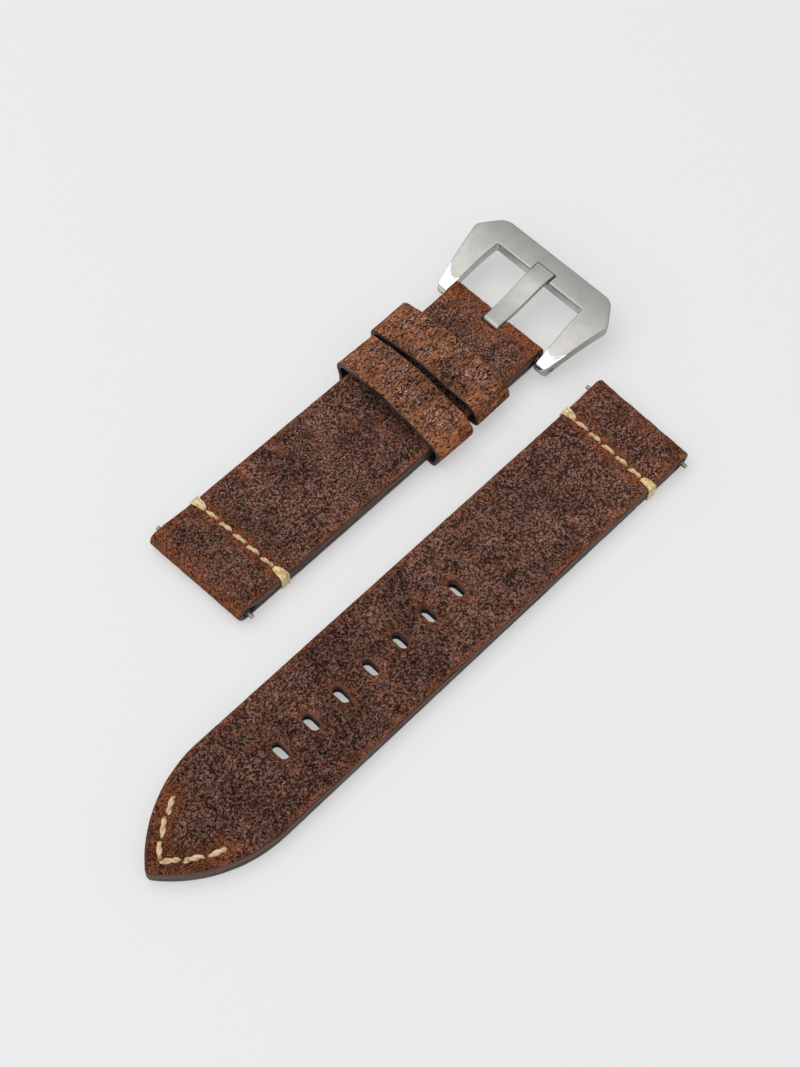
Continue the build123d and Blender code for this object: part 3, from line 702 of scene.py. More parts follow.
# Groove under the stitches on the underside
def grooveOf(away):
    deep, reach = surface["groove"]
    return np.exp(-(away / reach) ** 4) * deep


# One corner of a lug end reaches further than the other
def endReach(along, across, skew):
    share = (1 + np.sign(skew["end"]) * across / halfWidth) / 2
    return abs(skew["end"]) * share * smooth(1 - along / strap["endBlend"])


tipHoleSpots = [(tail["tipStart"] + far * tail["tipLength"], wide * tail["tipWidth"] / 2)
                for wide, far in tail["tipHoles"]]


def rowHoles(skew):
    return [(strap["stitchRow"] + skew["row"] * place, place) for place in rowPlaces]


# An upper leather from its side view and columns. An end is how far it lies, the reach, height and size of
# its bumps, and their seed.
def makeUpper(name, half, side, across, keep, wear, skew, holes, ends, dip, groove, body, node, seed):
    outerAlong, outerUp, innerAlong, innerUp, zone = side
    outer = inRow(half, outerAlong, across, outerUp)
    inner = inRow(half, innerAlong, across, innerUp)
    height = reliefOf(outer, outerAlong, across, holes, skew)
    for away, (reach, high, size), endSeed in ends:
        height = height + np.exp(-np.maximum(away, 0) / reach) * high * lumps(outer, size, endSeed)
    upperSide = np.where(zone == onTop, 1.0, smooth(outerUp / strap["foldHeight"]))
    outer = outer + unit(outer - inner) * ((height + dip) * upperSide)[..., None]
    groove = grooveOf(fromRow(outerAlong, across, skew)) * (zone == onFlap) + groove
    outer = outer + half["up"] * groove[..., None]
    outer = outer - half["along"] * endReach(outerAlong, across, skew)[..., None]
    made = thickSheet(name, outer, inner, keep, [strapLeather, liningLeather, burnishedEdge, holeEdge], wear,
                      strap["lip"], strap["innerLip"], seed)
    return settle(made, body, "strap_leather", node)


def makeTailUpper():
    lip, skew = strap["lip"], strap["tailSkew"]
    side = stations(tailReach, tailStations(*tail["stations"], lip))
    outerAlong, outerUp, innerAlong, innerUp, zone = (side[:, column:column + 1] for column in range(5))
    width = tailHalfWidth(outerAlong, lip)
    along, across = np.broadcast_arrays(outerAlong, width * columnShares(tail["columns"]))
    flat = (zone[:-1] == onTop) & (zone[1:] == onTop)
    along, across, keep = openSlots(along, across, tail["slotLip"], flat)
    innerAlong = np.where(zone == onTop, along, innerAlong)
    deep, reach = tail["slotDip"]
    dip = -deep * np.exp(-np.maximum(slotDistance(along, across), 0) / reach)
    wide, spread, amount = tail["slotWear"]
    places = [(tail["firstSlot"] + number * tail["slotPitch"], sideways, spread, amount)
              for number in range(tail["slotCount"]) for sideways in (-wide, wide)]
    for first, second in zip(tipHoleSpots, tipHoleSpots[1:]):
        halfWay = ((first[0] + second[0]) / 2, (first[1] + second[1]) / 2)
        places += [(*first, *tail["holeWear"]), (*halfWay, *tail["betweenWear"])]
    places.append((*tipHoleSpots[-1], *tail["lastWear"]))
    wear = wearOf(along, across, width, tailReach, places, False, skew)
    side = (along, outerUp, innerAlong, innerUp, zone)
    holes = rowHoles(skew) + tipHoleSpots
    return makeUpper("tailUpperLeather", tailHalf, side, across, keep, wear, skew, holes,
                     [(along, tail["end"], 21)], dip, 0.0, "tail_half", "tail_upper_leather", 31)


lining = {
    "columns": 45, "lip": 0.22, "innerLip": 0.1, "bulge": 0.04, "slotLip": 0.12, "dip": (0.3, 0.5),
    "stations": (0.3, 0.8), "start": 0.03, "clear": 0.4,
}


def makeLining(name, half, alongStations, widthOf, slots, body, node, seed):
    alongStations = alongStations[:, None]
    width = widthOf(alongStations, lining["lip"])
    along, across = np.broadcast_arrays(alongStations, width * columnShares(lining["columns"]))
    keep = np.ones((along.shape[0] - 1, along.shape[1] - 1), bool)
    if slots:
        along, across, keep = openSlots(along, across, lining["slotLip"], keep)
    outer = inRow(half, along, across, 0.0)
    inner = inRow(half, along, across, strap["liningThickness"] - strap["seam"])
    if slots:
        deep, reach = lining["dip"]
        dip = sum(np.exp(-(np.hypot(along - far, across - wide) / reach) ** 2) for far, wide in tipHoleSpots)
        outer = outer + half["up"] * (deep * dip)[..., None]
    made = thickSheet(name, outer, inner, keep, [liningLeather, liningLeather, burnishedEdge, holeShade],
                      np.zeros(along.shape), lining["lip"], lining["innerLip"], seed, lining["bulge"])
    return settle(made, body, "lining_leather", node)


makeTailUpper()
liningStations = tailStations(*lining["stations"], lining["lip"])
liningStations = liningStations[liningStations > strap["flap"] + lining["clear"]]
liningStations = np.append(strap["flap"] + lining["start"], liningStations)
makeLining("tailLining", tailHalf, liningStations, tailHalfWidth, True, "tail_half", "tail_lining", 33)
print("tail half's leather made")


keepers = {
    "wall": 0.9, "opening": 25.0, "headroom": 1.8, "crown": 1.0, "topRound": 2.0, "bottomRound": 0.5,
    "underGap": 0.1, "slant": 0.38, "slantFrom": 3.0, "slantLow": 1.2, "width": 9.0, "freeSkew": 1.0,
    "fixedSkew": -1.3, "freeTuck": 2.1, "fixedTuck": 0.5, "tuckFrom": 4.0, "tuckSide": 2.0,
    "tunnelSide": 0.15, "tunnelPlay": 0.1, "lip": 0.2, "innerLip": 0.15, "bulge": 0.02, "columns": 37,
    "wave": (0.16, 6.0), "lowest": 0.2, "bumps": ((0.035, 0.7), (0.05, 2.4), (0.05, 7.0)),
    "rimReach": 0.5, "rim": (0.3, 0.5, 2.0), "corner": (1.5, 0.5),
}
freeMiddle = inHalf(buckleHalf, nodeCentre("free_keeper"))
fixedMiddle = inHalf(buckleHalf, nodeCentre("fixed_keeper"))
fixedTurn = math.radians(abs(keepers["fixedSkew"]))
keeperTunnel = {
    "middle": fixedMiddle[0],
    "half": keepers["width"] / 2 + keepers["tunnelSide"] + halfWidth * math.sin(fixedTurn),
    "top": strap["liningThickness"] + keepers["wall"] / 2 + keepers["tunnelPlay"],
    "bottom": strap["liningThickness"] - keepers["wall"] / 2 - keepers["tunnelPlay"],
}


# Slot for the tongue at the buckle's bar, hollowed under its edge where the tongue's heel turns
tongueSlot = {
    "halfWidth": 2.15, "reach": 2.15, "hollow": 1.3, "hollowBlend": 2.2, "hollowSide": 0.3,
    "columnSide": 0.15, "openSide": 0.1, "wear": (73.6, 0.0, 2.6, 0.35),
}
liningEnd = nodeBox("buckle_side_lining")[1][0]
short = {
    "flapReach": buckleLength - inHalf(buckleHalf, (liningEnd, lugBar[1], lugBar[2]))[0],
    "columns": 67, "step": 0.4, "lugEnd": (1.2, 0.12, 0.9), "farEnd": (1.6, 0.13, 1.0), "grooveWidth": 9,
}


def makeBuckleUpper():
    lip, skew = strap["lip"], strap["buckleSkew"]
    slotWidth, slotEnd = tongueSlot["halfWidth"], buckleLength - nose - tongueSlot["reach"]
    topStations = np.sort(np.append(np.arange(0.0, buckleLength + short["step"] / 2, short["step"]), slotEnd))
    side = stations(buckleLength, topStations, short["flapReach"], keeperTunnel)
    slotShare = (slotWidth + tongueSlot["columnSide"]) / (halfWidth - lip)
    shares = columnShares(short["columns"], (-slotShare, slotShare))
    outerAlong, outerUp, innerAlong, innerUp, zone = (side[:, column:column + 1] for column in range(5))
    along, across = np.broadcast_arrays(outerAlong, (halfWidth - lip) * shares)
    blend = tongueSlot["hollowBlend"]
    hollow = tongueSlot["hollow"] * smooth((along - slotEnd + blend) / blend)
    hollow = hollow * (np.abs(across) < slotWidth + tongueSlot["hollowSide"])
    innerAlong = innerAlong - hollow * ((zone == onTop) | (zone == onFarFlap))
    middleAlong = (along[1:, 1:] + along[:-1, 1:]) / 2
    middleAcross = (across[1:, 1:] + across[1:, :-1]) / 2
    keep = ~((middleAlong > slotEnd) & (np.abs(middleAcross) < slotWidth + tongueSlot["openSide"]))
    groove = grooveOf(along - fixedMiddle[0]) * (zone == onFarFlap) * (np.abs(across) < short["grooveWidth"])
    wear = wearOf(along, across, halfWidth - lip, buckleLength, [tongueSlot["wear"]], True, skew)
    ends = [(along, short["lugEnd"], 22), (buckleLength - along, short["farEnd"], 23)]
    side = (along, outerUp, innerAlong, innerUp, zone)
    return makeUpper("buckleSideUpperLeather", buckleHalf, side, across, keep, wear, skew, rowHoles(skew),
                     ends, 0.0, groove, "buckle_half", "buckle_side_upper_leather", 35)


makeBuckleUpper()
liningStart, liningStop = strap["flap"] + lining["start"], buckleLength - short["flapReach"]
liningStations = np.arange(liningStart, liningStop, lining["stations"][1])
makeLining("buckleSideLining", buckleHalf, liningStations, lambda along, inset: halfWidth - inset + 0 * along,
           False, "buckle_half", "buckle_side_lining", 36)
print("buckle half's leather made")


# Loop of a keeper seen along the strap, from the middle of its lower run
def keeperLoop(bottom, top):
    half = keepers["opening"] / 2
    high, low = keepers["topRound"], keepers["bottomRound"]
    lowTurns, highTurns = np.radians(np.linspace(0, 90, 7)), np.radians(np.linspace(0, 90, 12))
    loop = [(across, bottom) for across in np.linspace(0, half - low, 24)[:-1]]
    loop += [(half - low + low * math.sin(turn), bottom + low - low * math.cos(turn)) for turn in lowTurns]
    loop += [(half, up) for up in np.linspace(bottom + low, top - high, 9)[1:-1]]
    loop += [(half - high + high * math.cos(turn), top - high + high * math.sin(turn)) for turn in highTurns]
    for across in np.linspace(half - high, 0, 30)[1:]:
        loop.append((across, top + keepers["crown"] * (1 - (across / (half - high)) ** 2)))
    mirrored = [(-across, up) for across, up in loop[-2:0:-1]]
    return np.array(loop + mirrored)


def makeKeeper(name, middle, skew, tuck, bottom, body, node, seed):
    loop = keeperLoop(bottom, strap["thickness"] + keepers["headroom"])
    ahead = np.roll(loop, -1, axis=0) - np.roll(loop, 1, axis=0)
    outwards = unit(np.stack([ahead[:, 1], -ahead[:, 0]], axis=-1))
    width, lip = keepers["width"], keepers["lip"]
    shares = np.linspace(-1, 1, keepers["columns"])
    turn = math.radians(skew)
    far = shares * (width / 2 - lip)
    waveHeight, waveSize = keepers["wave"]
    sides = []
    for grow in (keepers["wall"], 0.0):
        across, up = (loop[:, axis:axis + 1] + grow * outwards[:, axis:axis + 1] for axis in (0, 1))
        seen = np.concatenate([across, up, 0 * up], axis=-1)
        wave = waveHeight * lumps(seen, waveSize, seed)[:, None] * shares ** 2
        along = middle[0] + (far + wave) * math.cos(turn) + across * math.sin(turn)
        slanted = keepers["slant"] * np.maximum(up - keepers["slantFrom"], -keepers["slantLow"])
        tucked = tuck * smooth((keepers["tuckSide"] - across) / keepers["opening"])
        tucked = tucked * smooth((keepers["tuckFrom"] - up) / keepers["tuckFrom"])
        sideways = middle[1] + across * math.cos(turn) - far * math.sin(turn) + slanted + tucked
        sides.append(inRow(buckleHalf, along, sideways, up))
    outer, inner = sides
    above = smooth(loop[:, 1:] - bottom + keepers["lowest"])
    outer = outer + unit(outer - inner) * (bumpy(outer, keepers["bumps"], seed + 1) * above)[..., None]
    least, more, size = keepers["rim"]
    rim = np.exp(-(1 - np.abs(shares)) * width / 2 / keepers["rimReach"])
    rim = rim * (least + more * lumps(outer, size, seed + 4))
    reach, amount = keepers["corner"]
    corner = np.exp(-np.maximum(keepers["opening"] / 2 - np.abs(loop[:, :1]), 0) / reach) * amount
    wear = np.clip(rim + corner, 0, 1)
    keep = np.ones((len(loop), len(shares) - 1), bool)
    # the keeper's inner side is coloured near-black as painted shade
    made = thickSheet(name, outer, inner, keep, [keeperLeather, keeperInsideShade, rawEdgeAndShade, rawEdgeAndShade], wear, lip,
                      keepers["innerLip"], seed, keepers["bulge"], closed=True)
    return settle(made, body, "keeper_leather", node)


makeKeeper("fixedKeeper", fixedMiddle, keepers["fixedSkew"], keepers["fixedTuck"],
           strap["liningThickness"] + keepers["wall"] / 2, "buckle_half", "fixed_keeper", 51)
makeKeeper("freeKeeper", freeMiddle, keepers["freeSkew"], keepers["freeTuck"], -keepers["underGap"],
           "free_keeper", "free_keeper", 61)
print("keepers made")


# Thread: strands laid round a path, gathered in one mesh for each row
class Bundle:
    def __init__(self):
        self.points, self.faces, self.materials = [], [], []

    def tube(self, path, radius, material=0, sides=7):
        path, radius = np.asarray(path), np.broadcast_to(radius, (len(path),))
        ahead = unit(np.gradient(path, axis=0))
        other = np.where(np.abs(ahead[:, 2:]) < 0.9, [[0.0, 0.0, 1.0]], [[1.0, 0.0, 0.0]])
        side = unit(np.cross(ahead, other))
        over = np.cross(ahead, side)
        start = len(self.points)
        for number in range(len(path)):
            for corner in range(sides):
                turn = 2 * math.pi * corner / sides
                out = math.cos(turn) * side[number] + math.sin(turn) * over[number]
                self.points.append(path[number] + radius[number] * out)
        for number in range(len(path) - 1):
            for corner in range(sides):
                a, b = start + number * sides + corner, start + number * sides + (corner + 1) % sides
                self.faces.append((a, b, b + sides, a + sides))
                self.materials.append(material)
        last = start + (len(path) - 1) * sides
        self.faces += [tuple(range(start + sides - 1, start - 1, -1)), tuple(range(last, last + sides))]
        self.materials += [material, material]

    def rope(self, path, up, strands, lay, strand, pitch, phase, material=0):
        path = np.asarray(path)
        ahead = unit(np.gradient(path, axis=0))
        over = unit(up - np.sum(ahead * up, axis=-1, keepdims=True) * ahead)
        side = np.cross(ahead, over)
        length = np.concatenate([[0.0], np.cumsum(np.linalg.norm(np.diff(path, axis=0), axis=-1))])
        fromEnd = np.minimum(length, length[-1] - length) / min(thread["taper"], length[-1] / 2)
        taper = thread["thinnest"] + (1 - thread["thinnest"]) * smooth(fromEnd)
        for number in range(strands):
            turn = phase + 2 * math.pi * (number / strands + length / pitch)
            offset = lay * taper[:, None] * (np.cos(turn)[:, None] * over + np.sin(turn)[:, None] * side)
            self.tube(path + offset, strand * taper, material)

    def make(self, name, materials):
        return makeMesh(name, self.points, self.faces, materials, self.materials)


thread = {
    "strands": 2, "lay": 0.21, "strand": 0.30, "pitch": 3.1, "sunk": 1.3, "proud": 0.12, "slant": 0.17,
    "reach": 0.92, "taper": 1.9, "thinnest": 0.6, "steps": 26, "lowRise": 0.35, "underside": 0.62,
    "rowThinner": 0.80, "rowReach": 0.86,
}


# One stitch from hole to hole on the surface at the given height; negative side is the underside
def stitch(bundle, half, start, stop, surface, side, phase, thinner=1.0, reach=thread["reach"]):
    share = np.linspace(0, 1, thread["steps"])[:, None]
    start, stop = np.array(start), np.array(stop)
    shorter = (stop - start) * (1 - reach) / 2 * (side > 0)
    start, stop = start + shorter, stop - shorter
    run = stop - start
    sideways = np.array([-run[1], run[0]]) / np.linalg.norm(run)
    place = start + run * share + sideways * thread["slant"] * (2 * share - 1) * side
    rise = thread["proud"] - (thread["proud"] + thread["sunk"]) * np.abs(2 * share - 1) ** 5
    if side < 0:
        rise = np.maximum(rise, -thread["lowRise"])
    path = inRow(half, place[:, 0], place[:, 1], surface + side * rise[:, 0])
    lay, strand = thread["lay"] * thinner, thread["strand"] * thinner
    bundle.rope(path, half["up"] * side, thread["strands"], lay, strand, thread["pitch"], phase)


# Plies of a wrap: corners run from the last hole of a row round the edge of the strap to the hole underneath.
# A corner has its share of the ply's place in the bundle, the hole or edge that it is measured from, how far
# on it lies, and its height over the top of the leather, its middle or its underside.
plies = {
    "count": 4, "reach": 1.85, "radius": 0.235, "atHole": 0.26, "past": 0.2, "bow": 0.09,
    "waver": (0.08, 3), "steps": 60, "lay": 0.30, "strand": 0.86, "pitch": 2.6, "lowest": 0.2,
    "corners": [
        (0.5, "hole", 0.0, "top", -0.55), (1.0, "hole", 0.15, "top", -0.02), (1.8, "hole", 0.8, "bow", 0.24),
        (0.85, "edge", -0.9, "bow", 0.26), (1.0, "edge", -0.16, "top", 0.06), (1.0, "edge", 0.0, "top", -0.5),
        (1.0, "edge", 0.03, "middle", 0.0), (1.0, "edge", 0.0, "low", 0.62), (1.0, "edge", -0.2, "low", 0.26),
        (0.9, "edge", -0.9, "low", 0.22), (1.8, "hole", 0.9, "low", 0.22), (1.0, "hole", 0.2, "low", 0.3),
        (0.5, "hole", 0.0, "low", 0.8),
    ],
}


# Smooth curve through corners
def throughCorners(corners, steps):
    fine = np.linspace(0, len(corners) - 1, steps)
    base = np.clip(fine.astype(int), 0, len(corners) - 2)
    part = (fine - base)[:, None]
    before = corners[np.clip(base - 1, 0, None)]
    after = corners[np.clip(base + 2, None, len(corners) - 1)]
    first, second = corners[base], corners[base + 1]
    squared = 2 * before - 5 * first + 4 * second - after
    cubed = 3 * first - before - 3 * second + after
    return 0.5 * (2 * first + (second - before) * part + squared * part ** 2 + cubed * part ** 3)


def wrap(bundle, half, along, hole, slope, phase):
    sign = 1 if hole > 0 else -1
    start = {"hole": hole, "edge": sign * (halfWidth + plies["past"])}
    top, last = strap["thickness"], (plies["count"] - 1) / 2
    for ply in range(plies["count"]):
        spread = (ply - last) / last
        bow = plies["bow"] * (1 - spread ** 2)
        waver, rate = plies["waver"]
        atEdge = spread * (plies["reach"] / 2 - plies["radius"]) + waver * math.sin(rate * ply + phase)
        wide = {"hole": spread * plies["atHole"], "edge": atEdge}
        height = {"top": top, "bow": top + bow, "middle": top / 2, "low": 0.0}
        corners = np.array([(wide[place] * share, start[place] + sign * on, height[level] + up)
                            for share, place, on, level, up in plies["corners"]])
        curve = throughCorners(corners, plies["steps"])
        middle = along + slope * curve[:, 1]
        path = inRow(half, middle + curve[:, 0], curve[:, 1], np.maximum(curve[:, 2], plies["lowest"]))
        up = unit(path - inRow(half, middle, hole * 0.6, top / 2))
        lay, strand = plies["radius"] * plies["lay"], plies["radius"] * plies["strand"]
        bundle.rope(path, up, 2, lay, strand, plies["pitch"], phase + ply, 1)


def stitchRow(name, half, along, slope, wraps, body, node, seed):
    bundle = Bundle()
    for number, (start, stop) in enumerate(zip(rowPlaces, rowPlaces[1:])):
        first, second = (along + slope * start, start), (along + slope * stop, stop)
        stitch(bundle, half, first, second, strap["thickness"], 1, seed + 1.7 * number, thread["rowThinner"],
               thread["rowReach"])
        stitch(bundle, half, first, second, thread["underside"], -1, seed + 2.1 * number)
    if wraps:
        for hole in (rowPlaces[0], rowPlaces[-1]):
            wrap(bundle, half, along, hole, slope, seed + hole)
    return settle(bundle.make(name, [stitchThread, wrapThread]), body, "thread", node)


for name, half, along, slope, wraps, body, node, seed in (
        ("tailLugStitches", tailHalf, strap["stitchRow"], strap["tailSkew"]["row"], True,
         "tail_half", "tail_lug_stitches", 1),
        ("buckleSideLugStitches", buckleHalf, strap["stitchRow"], strap["buckleSkew"]["row"], True,
         "buckle_half", "buckle_side_lug_stitches", 2),
        ("fixedKeeperStitches", buckleHalf, fixedMiddle[0], 0.0, False,
         "buckle_half", "fixed_keeper_stitches", 3)):
    stitchRow(name, half, along, slope, wraps, body, node, seed)


def makeTipStitches():
    bundle = Bundle()
    for number, (start, stop) in enumerate(zip(tipHoleSpots, tipHoleSpots[1:])):
        stitch(bundle, tailHalf, start, stop, strap["thickness"], 1, 1.3 * number)
        stitch(bundle, tailHalf, start, stop, thread["underside"], -1, 1.9 * number)
    return settle(bundle.make("tailTipStitches", [stitchThread]), "tail_half", "thread", "tail_tip_stitches")


makeTipStitches()


def makeFreeKeeperStitches():
    bundle = Bundle()
    turn = math.radians(keepers["freeSkew"])
    surface = thread["underside"] - keepers["underGap"] - keepers["wall"]
    for offset in (-1.75, 1.75):
        ends = []
        for across in (-1.5, 1.5):
            far = freeMiddle[0] + offset * math.cos(turn) + across * math.sin(turn)
            ends.append((far, freeMiddle[1] + across * math.cos(turn) - offset * math.sin(turn)))
        stitch(bundle, buckleHalf, *ends, surface, -1, offset)
    made = bundle.make("freeKeeperStitches", [stitchThread])
    return settle(made, "free_keeper", "thread", "free_keeper_stitches")


makeFreeKeeperStitches()
print("thread made")


# Torn fibres along a fold: their bend and length, least and most
torn = {
    "bend": ((-0.6, 0.6), (-1, 1), (-0.7, 0.5)), "length": (0.2, 0.62), "radius": (0.022, 0.045),
    "straight": 0.75, "bent": 0.6, "sunk": 0.06, "proud": 0.02, "lowest": 0.05, "side": 0.3,
    "taper": (1.0, 0.9, 0.7, 0.3),
}


def fibres(name, half, along, upFrom, upTo, count, direction, body, seed, gap=0.0):
    bundle = Bundle()
    chance = np.random.RandomState(seed)
    for _ in range(count):
        across = chance.uniform(gap, halfWidth - torn["side"]) * chance.choice((-1, 1))
        turn = math.radians(chance.uniform(upFrom, upTo))
        out = np.array([direction * math.cos(turn), 0.0, math.sin(turn)])
        root = np.array([along, across, nose]) + out * (nose + torn["proud"])
        bend = np.array([chance.uniform(*limits) for limits in torn["bend"]])
        length = chance.uniform(*torn["length"])
        steps = np.linspace(0, 1, len(torn["taper"]))[:, None]
        path = root + out * steps * length * torn["straight"] + bend * steps ** 2 * length * torn["bent"]
        path = path - out * torn["sunk"]
        placed = inRow(half, path[:, 0], path[:, 1], np.maximum(path[:, 2], torn["lowest"]))
        bundle.tube(placed, chance.uniform(*torn["radius"]) * np.array(torn["taper"]), 0, 3)
    return settle(bundle.make(name, [fibreLeather]), body, "strap_leather")


fibres("tailLugFibres", tailHalf, nose, -30, 80, 70, -1, "tail_half", 3)
fibres("buckleSideLugFibres", buckleHalf, nose, -40, 80, 130, -1, "buckle_half", 4)
fibres("buckleEndFibres", buckleHalf, buckleLength - nose, -30, 85, 130, 1, "buckle_half", 5,
       tongueSlot["halfWidth"] + 0.7)


# Along is measured from the buckle's bar, and up from its height
buckle = {
    "crossBar": 5.6, "tipBack": 1.75, "tipWidth": 27.8, "cornerReach": 12.4, "cornerWidth": 34.0,
    "farWidth": 26.8, "armOpening": 23.1, "windowWidth": 21.6, "tipRound": 1.5, "cornerRound": 1.5,
    "farRound": 3.0, "windowRound": 0.45, "farTop": 4.5, "farThickness": 2.2, "windowTop": 4.45,
    "windowThickness": 2.3, "facetReach": 3.0, "facetTop": 2.2, "facetCurl": 0.012,
    "crescent": (2.2, -4.1, 5.4), "crescentBlend": 4.0, "endTop": (-1.2, 1.0), "endBack": (-1.75, -0.3),
    "endLow": (-0.8, -1.7), "edge": 0.2, "notchDepth": 1.1, "notchReach": 14.15, "notchHalf": 2.4,
    "notchBack": 0.5, "fanStart": 9.6, "fanOuter": 0.6, "fanInner": 0.55, "fanSide": 1.2,
    "fanCounts": (14, 34), "armStations": (12, 46), "barStations": 25, "columns": 15,
}
buckleReach = nodeBox("buckle_frame")[1][0] - buckleBar[0]


def circleThrough(a, b, c):
    (ax, ay), (bx, by), (cx, cy) = a, b, c
    d = 2 * (ax * (by - cy) + bx * (cy - ay) + cx * (ay - by))
    aa, bb, cc = ax ** 2 + ay ** 2, bx ** 2 + by ** 2, cx ** 2 + cy ** 2
    ux = (aa * (by - cy) + bb * (cy - ay) + cc * (ay - by)) / d
    uy = (aa * (cx - bx) + bb * (ax - cx) + cc * (bx - ax)) / d
    return ux, uy, math.hypot(ax - ux, ay - uy)


def arcHeight(circle, along, side):
    x, y, radius = circle
    return y + side * np.sqrt(np.maximum(radius ** 2 - (along - x) ** 2, 0.0))


windowReach = buckleReach - buckle["crossBar"]
topArch = circleThrough((buckle["facetReach"], buckle["facetTop"]), (windowReach, buckle["windowTop"]),
                        (buckleReach, buckle["farTop"]))
lowArch = circleThrough((buckleReach, buckle["farTop"] - buckle["farThickness"]),
                        (windowReach, buckle["windowTop"] - buckle["windowThickness"]), buckle["endLow"])
endArc = circleThrough(buckle["endLow"], buckle["endBack"], buckle["endTop"])


# Edge of the polished facet at the end of an arm: along, for a share across the arm, 0 inside and 1 outside
def facetEdge(share):
    base, slope, bend = buckle["crescent"]
    return base + slope * share + bend * share ** 2


def frameTop(along, share):
    edge = float(facetEdge(share))
    archSide = 1 if topArch[1] < buckle["facetTop"] else -1
    if along >= edge:
        return float(arcHeight(topArch, along, archSide))
    edgeHeight, (endAlong, endHeight) = float(arcHeight(topArch, edge, archSide)), buckle["endTop"]
    if along < endAlong:
        return float(arcHeight(endArc, along, 1))
    down = (edge - along) / (edge - endAlong)
    curl = buckle["facetCurl"] * (edge - endAlong) ** 2 * down * (1 - down)
    return edgeHeight + (endHeight - edgeHeight) * down + curl


def frameLow(along):
    arch = arcHeight(lowArch, along, 1 if lowArch[1] < 0 else -1)
    return np.where(along < buckle["endLow"][0], arcHeight(endArc, along, -1), arch)


# Points along a line of corners, each rounded with its own radius
def roundedLine(corners, radii):
    points = [np.array(corners[0], float)]
    for before, corner, after, radius in zip(corners, corners[1:], corners[2:], radii):
        before, corner, after = np.array(before, float), np.array(corner, float), np.array(after, float)
        first, second = unit(before - corner), unit(after - corner)
        half = math.acos(np.clip(first @ second, -1, 1)) / 2
        cut = radius / math.tan(half)
        centre = corner + unit(first + second) * radius / math.sin(half)
        start, stop = corner + first * cut - centre, corner + second * cut - centre
        sweep = math.atan2(start[0] * stop[1] - start[1] * stop[0], start @ stop)
        for share in np.linspace(0, 1, 9):
            turn = sweep * share
            points.append(centre + np.array([start[0] * math.cos(turn) - start[1] * math.sin(turn),
                                             start[0] * math.sin(turn) + start[1] * math.cos(turn)]))
    points.append(np.array(corners[-1], float))
    points = np.array(points)
    length = np.concatenate([[0.0], np.cumsum(np.linalg.norm(np.diff(points, axis=0), axis=-1))])
    return points, length


def alongLine(line, distance):
    points, length = line
    return np.stack([np.interp(distance, length, points[:, axis]) for axis in (0, 1)], axis=-1)


# Length of a line up to where it first reaches the given place along it (axis 0) or across it (axis 1)
def lengthAt(line, axis, value):
    points, length = line
    sign, little = (1 if axis == 0 else -1), 1e-6
    number = np.nonzero(sign * points[:, axis] >= sign * value - little)[0][0]
    if number == 0:
        return 0.0
    low, high = points[number - 1, axis], points[number, axis]
    return float(length[number - 1] + (length[number] - length[number - 1]) * (value - low) / (high - low))


# Insets from the side and the top of an edge that is rounded with the given radius
def roundEdge(radius, angles):
    return [(radius * (1 - math.sin(turn)), radius * (1 - math.cos(turn))) for turn in np.radians(angles)]


# Places of the frame's cross-sections on its outer and inner line: along an arm, round the window's corner
# and along half of the far bar, then the same for the other side
def frameStations(outerLine, innerLine, armStations):
    b = buckle
    side = b["windowWidth"] / 2 - b["fanSide"]
    outerPoints = [alongLine(outerLine, lengthAt(outerLine, 0, along)) for along in armStations]
    innerPoints = [alongLine(innerLine, lengthAt(innerLine, 0, along)) for along in armStations]
    for line, corner, found in ((outerLine, b["cornerReach"] + b["fanOuter"], outerPoints),
                                (innerLine, windowReach - b["fanInner"], innerPoints)):
        marks = [lengthAt(line, 0, b["fanStart"]), lengthAt(line, 0, corner), lengthAt(line, 1, side)]
        for start, stop, count in zip(marks, marks[1:], b["fanCounts"]):
            for share in np.linspace(0, 1, count + 1)[1:]:
                found.append(alongLine(line, start + (stop - start) * share))
    notchSides = [b["notchHalf"] - 0.02, b["notchHalf"] + 0.02]
    places = np.concatenate([np.linspace(0, side, b["barStations"]), notchSides])
    places = np.unique(np.round(places, 5))[::-1]
    outerPoints += [np.array([buckleReach, across]) for across in places[1:]]
    innerPoints += [np.array([windowReach, across]) for across in places[1:]]
    flip = np.array([1.0, -1.0])
    return [np.concatenate([found, np.array(found[-2::-1]) * flip]) for found in (outerPoints, innerPoints)]


